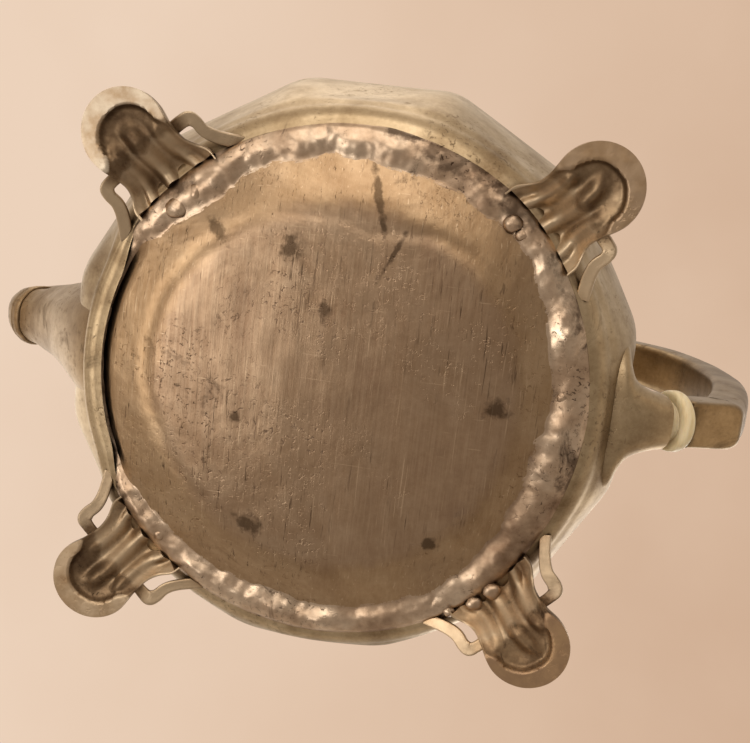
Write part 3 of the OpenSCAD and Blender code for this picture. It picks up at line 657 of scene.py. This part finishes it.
def handle_grip():
    lower = along(LOWER_RING, LOWER_OUT, RING_HALF)
    upper = along(UPPER_RING, UPPER_OUT, RING_HALF)
    heel = along(lower, LOWER_OUT, HEEL_ARM)
    heel_out = (-math.sin(HEEL_LEAN), math.cos(HEEL_LEAN))
    back = (-(REACH - GRIP_T), lerp(LOWER_RING[1], UPPER_RING[1], 0.55))
    low = [heel, along(heel, heel_out, 18), (back[0], back[1] - 22), back]
    high = [back, (back[0], back[1] + 25), along(upper, UPPER_OUT, 24), upper]
    arm_angle = math.atan2(LOWER_OUT[1], LOWER_OUT[0])
    up_angle = math.atan2(heel_out[1], heel_out[0])
    turn = arm_angle - up_angle

    def ring(at, angle, wide=1.0, thick=1.0, round_back=0.0, side=0.0):
        """Square towards the body; the outer side is flat at round_back 0 and round at 1."""
        out = []
        for a in [2 * math.pi * (k + 0.5) / 48 for k in range(48)]:
            power = 0.30 if math.sin(a) > 0 else lerp(0.26, 0.74, round_back)
            c, s = math.cos(a), math.sin(a)
            out.append((GRIP_W * wide * math.copysign(abs(c) ** min(power, 0.45), c),
                        GRIP_T * thick * math.copysign(abs(s) ** power, s)))
        return [(x, y + side, z) for x, y, z in across(out, at, angle)]

    rings = [ring(lower, arm_angle, 0.9, 0.9)]
    rings += [ring(along(lower, LOWER_OUT, d), arm_angle) for d in (0.5, 2, 4, 6, 8, 9.8)]
    for i in range(9):
        s = (i + 0.5) / 9
        rings.append(ring(heel, arm_angle - turn * s, 1.02,
                          1.0 + (1 / math.cos(turn / 2) - 1) * math.sin(math.pi * s),
                          min(1.0, 0.15 + 1.5 * s)))
    for t in [0.06 + 0.94 * i / 34 for i in range(35)]:
        rings.append(ring(bezier(low, t), bezier_angle(low, t), 1 + BACK_WIDER * ease(t / 0.7), 1, 1,
                          BACK_SHIFT * ease(t)))
    for t in [i / 40 for i in range(1, 40)]:
        rings.append(ring(bezier(high, t), bezier_angle(high, t),
                          1 + BACK_WIDER - BACK_WIDER * ease(t * 1.5 - 0.5), 1,
                          1 - ease(t), BACK_SHIFT * (1 - ease(t))))
    rings.append(ring(upper, bezier_angle(high, 1.0), 0.9, 0.9))
    return loft("handle_grip_fine", [list(reversed(r)) for r in knocked(rings, 0.12, 8.0)], smooth_angle=50)


def insulator(name, at, out, radius):
    """A turned ivory ring with a turned-over edge, and the spigot that enters the socket."""
    bore, edge, count = 1.64, 1.0, 96
    # radius, and distance along the axis
    rows = [(bore, RING_HALF), (bore, SPIGOT_END), (4.1, SPIGOT_END), (4.4, -3.6), (4.4, -1.7), (4.6, -1.45)]
    for middle, first in ((-0.5, -90), (0.5, 0)):
        rows += [(radius - edge + edge * math.cos(a), middle + edge * math.sin(a))
                 for a in [math.radians(first + 15 * i) for i in range(7)]]
    angle = math.atan2(out[1], out[0])
    rings = []
    for r, d in reversed(rows):
        x, z = along(at, out, d)
        rings.append([(x + r * math.cos(a) * math.sin(angle), r * math.sin(a),
                       z - r * math.cos(a) * math.cos(angle)) for a in reversed(turns(count))])
    return loft(name, rings, loop=True, smooth_angle=50)


def socket(name, root, root_heading, ring_at, out, flares):
    """A trumpet from the body to an insulator; flares are (share of the way, half-width, half-height)."""
    end = along(ring_at, out, SPIGOT_END)
    run = math.dist(root, end)
    head = math.radians(root_heading)
    path = [root, (root[0] + run * 0.35 * math.cos(head), root[1] + run * 0.35 * math.sin(head)),
            along(end, out, -run * 0.3), end]

    def ring(share, half_a, half_b):
        flats = section(half_a, half_b, 0.6, 0.45, 0.45)
        return across(flats, bezier(path, share), bezier_angle(path, share))
    rows = smooth_path(flares, 8)
    rings = [ring(*row) for row in rows]
    rings[-1] = ring(1.0, rows[-1][1] - 0.3, rows[-1][2] - 0.3)
    return loft(name, knocked(rings, 0.15, 3.0), smooth_angle=50)


def panel_face(z):
    """Distance from the axis to the middle of a panel."""
    return panel_radius(table(COARSE, z), panelled(z), 0)


def sockets():
    lower = socket("handle_lower_socket_fine", (-(panel_face(20.5) - 3), 22.4), 203, LOWER_RING, LOWER_OUT,
                   [(0, 17, 7.6), (0.2, 16.2, 7.5), (0.29, 12.6, 7.4), (0.37, 9.8, 7.2), (0.48, 8.2, 6.9),
                    (0.64, 7.2, 6.5), (0.82, 6.5, 6.1), (1, 6.2, 5.9)])
    lower = trimmed(lower, envelope(TRIM_Z, 80), 50)
    upper = socket("handle_upper_socket_fine", (-(panel_face(140) - 3), 140.6), 168, UPPER_RING, UPPER_OUT,
                   [(0, 9.8, 12), (0.18, 9.4, 11.5), (0.32, 7.4, 8.6), (0.55, 6.3, 6.6), (1, 5.7, 5.4)])
    upper = trimmed(upper, envelope(90, 200), 50)
    return lower, upper


# ---------------------------------------------------------------- lid

DOME_Z, DOME_H, DOME_R, DOME_TOP = 183.15, 25.0, 40.0, 7.0
DOME_WALL, SCREW_R = 1.2, 1.6


def lid_dome():
    """A panelled dome, round at its foot and top, with a hole for the knob's screw."""
    count = 288

    def ring(angle, shrink):
        z = DOME_Z + (DOME_H - shrink) * math.sin(angle)
        r = lerp(DOME_TOP, DOME_R, math.cos(angle) ** 0.85) - shrink
        deg = math.degrees(angle)
        share = ease(deg / 25) * ease((90 - deg) / 20)
        out = []
        for a in turns(count):
            q = panel_radius(r, share, a)
            q += 0.1 * wobble(*polar(q, a, z), 14, 6.0) * share
            out.append(polar(q, a, z))
        return out
    angles = [math.radians(90) * (i / 40) for i in range(41)]
    outer = [ring(a, 0) for a in angles]
    hole = [[polar(SCREW_R, a, z) for a in turns(count)]
            for z in (DOME_Z + DOME_H, DOME_Z + DOME_H - DOME_WALL)]
    inner = [ring(a, DOME_WALL) for a in reversed(angles)]
    return loft("lid_dome_fine", outer + hole + inner, loop=True, smooth_angle=50)


# ---------------------------------------------------------------- materials

def srgb(r, g, b):
    def lin(c):
        c /= 255
        return c / 12.92 if c <= 0.04045 else ((c + 0.055) / 1.055) ** 2.4
    return (lin(r), lin(g), lin(b), 1.0)


class Graph:
    """Short names for building the node tree of a material or world."""

    def __init__(self, owner, coords):
        owner.use_nodes = True
        self.tree = owner.node_tree
        self.tree.nodes.clear()
        self.coords = self.add("ShaderNodeTexCoord").outputs[coords]

    def add(self, kind, inputs=None, **values):
        node = self.tree.nodes.new(kind)
        for key, value in values.items():
            setattr(node, key, value)
        for key, value in (inputs or {}).items():
            self.put(node.inputs[key], value)
        return node

    def put(self, socket, value):
        """Links a socket, or sets its constant."""
        if isinstance(value, bpy.types.NodeSocket):
            self.tree.links.new(value, socket)
        else:
            socket.default_value = value

    def mapping(self, scale, rotation=(0, 0, 0), offset=(0, 0, 0)):
        return self.add("ShaderNodeMapping", {"Vector": self.coords, "Scale": scale, "Rotation": rotation,
                                              "Location": offset}).outputs[0]

    def noise(self, scale, detail=4, rough=0.55, vector=None, distortion=0.0):
        return self.add("ShaderNodeTexNoise", {"Vector": vector or self.coords, "Scale": scale,
                                               "Detail": detail, "Roughness": rough,
                                               "Distortion": distortion}).outputs["Fac"]

    def ramp(self, value, stops):
        node = self.add("ShaderNodeValToRGB", {0: value})
        while len(node.color_ramp.elements) < len(stops):
            node.color_ramp.elements.new(0.5)
        for element, (place, colour) in zip(node.color_ramp.elements, stops):
            element.position = place
            element.color = colour if len(colour) == 4 else (*colour, 1)
        return node.outputs[0]

    def grey_ramp(self, value, low, high, a=0.0, b=1.0):
        return self.add("ShaderNodeMapRange", {"Value": value, "From Min": low, "From Max": high,
                                               "To Min": a, "To Max": b}, clamp=True).outputs[0]

    def maths(self, operation, a, b):
        return self.add("ShaderNodeMath", {0: a, 1: b}, operation=operation).outputs[0]

    def times(self, a, b):
        return self.maths("MULTIPLY", a, b)

    def length(self, vector):
        return self.add("ShaderNodeVectorMath", {0: vector}, operation="LENGTH").outputs["Value"]

    def mix(self, factor, a, b):
        """Mixes two colours, which are the sockets 6 and 7 of the Mix node, with output 2."""
        return self.add("ShaderNodeMix", {0: factor, 6: a, 7: b}, data_type="RGBA").outputs[2]

    def over(self, below, above, mask, share):
        """One colour laid over another where the mask says, by a share at most."""
        return self.mix(self.times(mask, share), below, above)

    def bump(self, height, strength, distance, normal=None):
        node = self.add("ShaderNodeBump", {"Height": height, "Strength": strength, "Distance": distance})
        if normal is not None:
            self.put(node.inputs["Normal"], normal)
        return node.outputs[0]

    def crevice(self, distance):
        """Near 0 in corners and 1 in the open."""
        return self.add("ShaderNodeAmbientOcclusion", {"Distance": distance}, samples=8).outputs["AO"]

    def parts(self, vector):
        return self.add("ShaderNodeSeparateXYZ", {0: vector}).outputs

    def blot(self, x, y, half_x, half_y, turn):
        """1 inside a ragged oval at a place in millimetres, 0 outside."""
        place = self.add("ShaderNodeMapping", {
            "Vector": self.coords, "Location": (x * MM, y * MM, 0), "Rotation": (0, 0, math.radians(turn)),
            "Scale": (half_x * MM, half_y * MM, 1)}, vector_type="TEXTURE").outputs[0]
        edge = self.times(self.maths("SUBTRACT", self.noise(420, 3, 0.6), 0.5), 2.7)
        return self.grey_ramp(self.maths("ADD", self.length(place), edge), 0.6, 1.25, 1.0, 0.0)


def surface(name):
    """A material with one principled shader, as a graph to fill in."""
    material = bpy.data.materials.new(name)
    g = Graph(material, "Object")
    g.material = material
    g.shader = g.add("ShaderNodeBsdfPrincipled")
    g.out = g.add("ShaderNodeOutputMaterial", {"Surface": g.shader.outputs[0]})
    return g


# radius at which the base's grey middle turns golden, and over how much
BAND_R, BAND_BLEND = 0.0405, 0.003


def worked(g, colour, mottle, dark, dirt_and_shade, light):
    """The base's own marks: a grey middle in a golden band, grime, scores and bright scratches."""
    ragged = g.maths("ADD", g.length(g.coords), g.times(mottle, 0.006))
    band = g.grey_ramp(ragged, BAND_R, BAND_R + BAND_BLEND)
    rim = g.times(band, g.grey_ramp(ragged, BAND_R, BAND_R + BAND_BLEND + 0.001, 1.0, 0.0))
    colour = g.over(colour, srgb(164, 136, 102), band, 0.45)
    colour = g.over(colour, srgb(150, 128, 112), g.maths("SUBTRACT", 1.0, band), 0.35)
    colour = g.over(colour, dark, rim, 0.5)
    grime = g.grey_ramp(g.noise(26, 8, 0.72, distortion=0.5), 0.47, 0.68)
    colour = g.over(colour, dark, grime, 0.55)
    patchy = g.grey_ramp(g.noise(30, 4, 0.6), 0.42, 0.6)
    score = g.noise(1.0, 3, 0.75, g.mapping((1500, 70, 1500), (0, 0, 0.05), (3, 1, 2)))
    colour = g.over(colour, dirt_and_shade, g.times(g.grey_ramp(score, 0.60, 0.68), patchy), 0.75)
    cross = g.noise(1.0, 2, 0.6, g.mapping((60, 1900, 1900), (0, 0, 0.35), (7, 4, 2)))
    colour = g.over(colour, light, g.grey_ramp(cross, 0.70, 0.73), 0.55)
    up = g.noise(1.0, 2, 0.6, g.mapping((2600, 50, 2600), (0, 0, -0.12), (1, 8, 5)))
    return g.over(colour, light, g.grey_ramp(up, 0.66, 0.70), 0.6)


def metal(name, light, mid, dark, dirt_and_shade, rough, grain=(1, 1, 1), scratch=0.35, pits=0.4, dents=0.3,
          corner_shade_reach=0.004, corner_shade_depth=0.9, worn=None, sole=None, spots=0.35, blots=(), brushed=0.25,
          base=False):
    """Old plated metal: clouded tarnish, wiped scratches, pits, and painted shade in the corners."""
    g = surface(name)
    clouds = g.noise(22, 5, 0.6, distortion=0.6)
    mottle = g.noise(140, 6, 0.62)
    speck = g.noise(900, 3, 0.6)
    tone = g.maths("ADD", g.times(clouds, 0.62), g.times(mottle, 0.38))
    colour = g.ramp(tone, [(0.36, dark), (0.49, mid), (0.62, light)])
    colour = g.mix(g.grey_ramp(speck, 0.35, 0.7, 0.0, 0.25), colour, dark)
    spot = g.grey_ramp(g.noise(60, 7, 0.7, distortion=1.2), 0.60, 0.70)
    colour = g.over(colour, dirt_and_shade, spot, spots)
    hole = g.grey_ramp(g.noise(900, 2.5, 0.7, distortion=0.8), 0.58, 0.66)
    hole = g.times(hole, g.grey_ramp(g.noise(48, 5, 0.65), 0.48, 0.62))
    colour = g.over(colour, dirt_and_shade, hole, pits)
    lines = g.noise(1.0, 4, 0.7, g.mapping(tuple(v * 1000 for v in grain)))
    fine = g.noise(1.0, 3, 0.7, g.mapping(tuple(v * 2600 for v in grain), (0.1, 0.2, 0.15)))
    colour = g.over(colour, light, g.grey_ramp(lines, 0.44, 0.60), brushed * scratch)
    if base:
        colour = worked(g, colour, mottle, dark, dirt_and_shade, light)
    for blot in blots:
        colour = g.over(colour, dirt_and_shade, g.blot(*blot), 0.7)
    # painted shade: a dark brown laid into corners and hollows, where shade falls
    corner = g.grey_ramp(g.crevice(corner_shade_reach), 0.35, 0.92, 1.0, 0.0)
    colour = g.over(colour, dirt_and_shade, corner, corner_shade_depth)
    # a paler tint over the open surfaces, left out of the corners: partly rubbed wear, partly a painted
    # highlight
    if worn is not None:
        edge = g.maths("ADD", g.crevice(corner_shade_reach * 0.7), g.times(mottle, 0.25))
        colour = g.over(colour, worn, g.grey_ramp(edge, 0.86, 1.12), 0.7)
    if sole is not None:
        low = g.maths("ADD", g.parts(g.coords)["Z"], g.times(mottle, 0.0004))
        scuffed = g.mix(g.grey_ramp(mottle, 0.4, 0.65), sole, mid)
        colour = g.mix(g.grey_ramp(low, 0.0008, 0.0011, 1.0, 0.0), colour, scuffed)
    g.put(g.shader.inputs["Base Color"], colour)
    g.shader.inputs["Metallic"].default_value = 1.0
    dull = g.grey_ramp(tone, 0.35, 0.65, rough[1], rough[0])
    dull = g.maths("ADD", dull, g.times(g.maths("ADD", spot, hole), 0.22))
    dull = g.maths("ADD", dull, g.times(fine, 0.10 * scratch))
    g.put(g.shader.inputs["Roughness"], g.maths("MINIMUM", dull, 0.85))
    normal = g.bump(clouds, dents, 0.0012)
    normal = g.bump(g.maths("ADD", lines, g.times(fine, 0.6)), 0.12 * scratch, 0.0002, normal)
    normal = g.bump(g.maths("SUBTRACT", g.times(mottle, 0.6), hole), 0.25, 0.00025, normal)
    g.put(g.shader.inputs["Normal"], normal)
    return g.material


LIGHT = srgb(203, 184, 154)
# a dark brown for grime, pits and stains, and also the painted shade in corners
DIRT_AND_SHADE = srgb(58, 43, 30)

plate = metal("tarnished_plate", LIGHT, srgb(174, 154, 124), srgb(130, 108, 81), DIRT_AND_SHADE,
              rough=(0.30, 0.46), grain=(1.4, 1.4, 0.12), scratch=0.5, dents=0.35)
spout_plate = metal("spout_plate", srgb(182, 160, 130), srgb(153, 131, 103), srgb(107, 86, 64), DIRT_AND_SHADE,
                    rough=(0.32, 0.48), grain=(1.2, 0.3, 1.2), scratch=0.6, dents=0.4, spots=0.6)
# dark stains on the base: place, half-sizes in millimetres, and turn in degrees
STAINS = [(15.4, -31.2, 3.0, 2.2, 20), (11.7, 29.2, 2.2, 2.6, 0), (-34.6, 1.0, 2.6, 2.0, 10),
          (20.5, -8.0, 1.3, 1.1, 0), (3.4, 17.0, 1.2, 2.2, -10), (-24.0, -30.0, 1.6, 1.3, 0),
          (-5.2, 41.0, 0.8, 7.6, -16), (-9.4, 30.0, 0.6, 5.0, 24), (28.0, 31.0, 3.2, 1.4, 45)]
base_metal = metal("base_plate_metal", srgb(206, 182, 154), srgb(178, 152, 123), srgb(136, 109, 83), DIRT_AND_SHADE,
                   rough=(0.22, 0.36), grain=(1.6, 0.05, 1.6), scratch=1.0, pits=0.9, dents=0.45, spots=0.6,
                   blots=STAINS, brushed=0.3, base=True)
solder = metal("old_solder", srgb(222, 203, 181), srgb(192, 168, 144), srgb(126, 101, 80), srgb(58, 43, 33),
               rough=(0.26, 0.48), scratch=0.1, pits=0.9, dents=0.5, corner_shade_reach=0.002, spots=0.9,
               blots=[(-20, 51, 9, 3.6, 20), (-34, 43, 7, 4, 40), (-9, 55, 5, 2, 8), (-53, -12, 3, 6, 10),
                      (38, 40, 5, 3, -45), (-50, 24, 3, 4, -20)])
# the feet: a lighter painted shade in their hollows, and a pale tint on open surfaces that is partly rubbed
# wear, partly painted highlight
FOOT = dict(rough=(0.32, 0.54), scratch=0.5, pits=0.5, dents=0.5, corner_shade_reach=0.005, corner_shade_depth=0.42,
            worn=srgb(206, 188, 162), spots=0.8)


def foot_metal(name, bright, sole):
    """The feet's metal, at a brightness given for each foot, and the colour of its worn sole."""
    light, mid, dark = (srgb(*(c * bright for c in colour))
                        for colour in ((200, 176, 144), (156, 132, 104), (92, 72, 55)))
    return metal(name, light, mid, dark, srgb(44, 31, 23), sole=sole, **FOOT)


grip_metal = metal("grip_plate", srgb(166, 144, 112), srgb(138, 116, 86), srgb(100, 79, 56), DIRT_AND_SHADE,
                   rough=(0.28, 0.42), grain=(0.2, 1.4, 0.2), scratch=0.5, pits=0.25, dents=0.25, spots=0.3)


def ivory_material():
    """Yellowed ivory: faint bands, clouds, and painted shade in the corners."""
    g = surface("old_ivory")
    bands = g.noise(1.0, 3, 0.5, g.mapping((900, 160, 160)))
    clouds = g.noise(120, 4, 0.5)
    colour = g.ramp(bands, [(0.3, srgb(214, 194, 150)), (0.55, srgb(236, 222, 186)),
                            (0.8, srgb(246, 236, 208))])
    colour = g.mix(g.grey_ramp(clouds, 0.45, 0.75, 0, 0.35), colour, srgb(190, 158, 104))
    # painted shade: a dark brown laid into the corners, where shade falls
    corner = g.grey_ramp(g.crevice(0.0015), 0.3, 0.9, 1.0, 0.0)
    colour = g.over(colour, srgb(92, 64, 36), corner, 0.7)
    g.put(g.shader.inputs["Base Color"], colour)
    g.put(g.shader.inputs["Roughness"], g.grey_ramp(clouds, 0.3, 0.7, 0.28, 0.45))
    g.shader.inputs["Subsurface Weight"].default_value = 0.15
    g.shader.inputs["Subsurface Radius"].default_value = (0.002, 0.0014, 0.0008)
    g.put(g.shader.inputs["Normal"], g.bump(bands, 0.08, 0.0002))
    return g.material


ivory = ivory_material()
brass = metal("dull_brass", srgb(196, 164, 104), srgb(170, 136, 80), srgb(120, 90, 52), DIRT_AND_SHADE,
              rough=(0.28, 0.42), scratch=0.4, pits=0.3, spots=0.3)

# ---------------------------------------------------------------- put the pieces together

adopt(body_shell(), "pot", "silver", plate, "body_shell")
adopt(base_plate(), "pot", "base_metal", base_metal, "base_plate")
adopt(base_solder(), "pot", "solder", solder, "base_solder")
adopt(drops(), "pot", "solder", solder)
# name, degrees round the base, side of the loose strap, brightness, colour of the sole
FEET = [("foot_spout_left", 45.7, 0, 1.04, srgb(212, 200, 182)),
        ("foot_handle_left", 135, -1, 1.06, srgb(176, 154, 130)),
        ("foot_handle_right", 225, 0, 1.26, srgb(172, 144, 116)),
        ("foot_spout_right", 315, 0, 1.06, srgb(196, 176, 150))]
for k, (name, degrees, loose, bright, sole) in enumerate(FEET):
    adopt(foot(name + "_fine", degrees, k + 1, loose), "pot", "silver",
          foot_metal("foot_casting_%d" % k, bright, sole), name)
adopt(spout_lower(), "pot", "silver", spout_plate, "spout_lower")
adopt(spout_neck(), "pot", "silver", spout_plate, "spout_neck")
adopt(spout_collar(), "pot", "silver", spout_plate, "spout_collar")
adopt(handle_grip(), "pot", "silver", grip_metal, "handle_grip")
low_socket, high_socket = sockets()
adopt(low_socket, "pot", "silver", plate, "handle_lower_socket")
adopt(high_socket, "pot", "silver", plate, "handle_upper_socket")
adopt(insulator("lower_insulator_fine", LOWER_RING, LOWER_OUT, 6.9), "pot", "ivory", ivory,
      "lower_insulator")
adopt(insulator("upper_insulator_fine", UPPER_RING, UPPER_OUT, 6.4), "pot", "ivory", ivory,
      "upper_insulator")
adopt(lid_dome(), "lid", "silver", plate, "lid_dome")

# nodes that stay as the CAD model has them, and their finish
CARRIED = {
    "neck_rim": plate, "hinge_bracket": plate, "lid_hinge_leaf": plate, "lid_flange": plate,
    "finial_base": plate, "finial_knob": ivory, "lower_dowel": brass, "upper_dowel": brass,
    "cross_pins": brass, "hinge_pin": brass, "finial_screw": brass, "finial_nut": brass,
}
for name, material in CARRIED.items():
    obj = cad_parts[name]
    obj.data.materials.clear()
    obj.data.materials.append(material)


# ---------------------------------------------------------------- stage

FLOOR_HALF = 3000
# the metal doesn't reflect the floor within this radius, because the base would turn white
CLEAR_R = 0.11


def floor_material():
    """Seen from above only: pale paper with the pot's shadow. Light passes through it."""
    g = surface("floor_paper")
    g.tree.nodes.remove(g.shader)
    paper = g.mix(g.grey_ramp(g.noise(3, 4, 0.5), 0.3, 0.7), srgb(238, 228, 214), srgb(232, 220, 204))
    diffuse = g.add("ShaderNodeBsdfDiffuse", {"Color": paper})
    clear = g.add("ShaderNodeBsdfTransparent")
    rays = g.add("ShaderNodeLightPath").outputs
    front = g.maths("SUBTRACT", 1.0, g.add("ShaderNodeNewGeometry").outputs["Backfacing"])
    glossy = g.times(rays["Is Glossy Ray"], g.maths("GREATER_THAN", g.length(g.coords), CLEAR_R))
    seen = g.maths("MAXIMUM", rays["Is Camera Ray"], glossy)
    seen = g.maths("MAXIMUM", seen, rays["Is Transmission Ray"])
    shown = g.times(seen, front)
    blend = g.add("ShaderNodeMixShader", {0: shown, 1: clear.outputs[0], 2: diffuse.outputs[0]})
    g.put(g.out.inputs["Surface"], blend.outputs[0])
    return g.material


corners = [(x * FLOOR_HALF, y * FLOOR_HALF, 0) for x, y in ((-1, -1), (1, -1), (1, 1), (-1, 1))]
floor = new_object("floor", corners, [(0, 1, 2, 3)], 180)
floor.data.materials.append(floor_material())


def studio_world():
    """Pale crumpled paper for the camera, with a painted shadow towards -X and painted shade in its folds;
    for the metal, a soft room lit from +Y and +X.
    """
    world = bpy.data.worlds.new("studio")
    bpy.context.scene.world = world
    g = Graph(world, "Generated")
    axis = g.parts(g.coords)
    # paper for the camera: darker towards -X as a painted shadow of the pot, with painted shade along its
    # folds
    folds = g.times(g.maths("SUBTRACT", g.noise(3.2, 5, 0.5), 0.5), 0.55)
    paper = g.ramp(g.grey_ramp(g.maths("ADD", axis["X"], folds), -0.42, 0.45), [
        (0.0, srgb(205, 171, 144)), (0.3, srgb(218, 187, 161)), (0.62, srgb(227, 198, 173)),
        (1.0, srgb(236, 210, 187))])
    room = g.ramp(g.grey_ramp(axis["Z"], -1, 1), [
        (0.0, (0.42, 0.34, 0.27)), (0.15, (0.52, 0.44, 0.36)), (0.45, (0.68, 0.57, 0.465)),
        (1.0, (0.86, 0.76, 0.66))])
    side = g.maths("ADD", g.times(axis["X"], 0.16), g.times(axis["Y"], 0.06))
    strength = g.times(g.maths("ADD", side, 1.0), 0.85)
    light = g.add("ShaderNodeBackground", {"Color": room, "Strength": strength})
    seen = g.add("ShaderNodeBackground", {"Color": paper})
    by_camera = g.add("ShaderNodeLightPath").outputs["Is Camera Ray"]
    blend = g.add("ShaderNodeMixShader", {0: by_camera, 1: light.outputs[0], 2: seen.outputs[0]})
    g.add("ShaderNodeOutputWorld", {"Surface": blend.outputs[0]})


studio_world()


AIM = Vector((0, 0, 0.06))
SOFT, WARM = (1, 0.93, 0.84), (1, 0.9, 0.78)


def lamp(name, place, power, size, colour):
    """A square lamp at a place in metres, turned to the lower body."""
    data = bpy.data.lights.new(name, "AREA")
    data.energy = power
    data.size = size
    data.color = colour
    obj = bpy.data.objects.new(name, data)
    bpy.context.scene.collection.objects.link(obj)
    obj.location = place
    obj.rotation_mode = "QUATERNION"
    obj.rotation_quaternion = (AIM - Vector(place)).to_track_quat("-Z", "Y")


lamp("key_below", (0.33, 0.0, -0.45), 0.8, 0.3, SOFT)
lamp("top_below", (0.05, 0.45, -0.42), 1.5, 0.5, WARM)
lamp("key_above", (-0.5, -0.6, 0.75), 3.2, 0.8, SOFT)
lamp("fill_above", (0.6, -0.35, 0.5), 1.5, 0.8, SOFT)
lamp("back_above", (0.2, 0.8, 0.6), 1.8, 0.8, WARM)

# ---------------------------------------------------------------- camera

# under the pot, looking up: where the picture's right and lower sides and its depth point to
EYE = Vector((-0.0256, 0.03849, -0.17832))
RIGHT = Vector((-0.98702, 0.11474, 0.11237))
DOWN = Vector((-0.13214, -0.97787, -0.16218))
FORWARD = Vector((0.09127, -0.17492, 0.98034))
camera = bpy.data.objects.new("camera", bpy.data.cameras.new("camera"))
bpy.context.scene.collection.objects.link(camera)
SENSOR, FOCAL_PIXELS, PICTURE_PIXELS = 36, 900, 750
camera.data.sensor_width = SENSOR
camera.data.lens = SENSOR * FOCAL_PIXELS / PICTURE_PIXELS
camera.data.clip_start = 0.005
axes = Matrix((RIGHT, -DOWN, -FORWARD)).transposed()
camera.matrix_world = Matrix.Translation(EYE) @ axes.to_4x4()
bpy.context.scene.camera = camera
bpy.context.scene.view_settings.view_transform = "Standard"
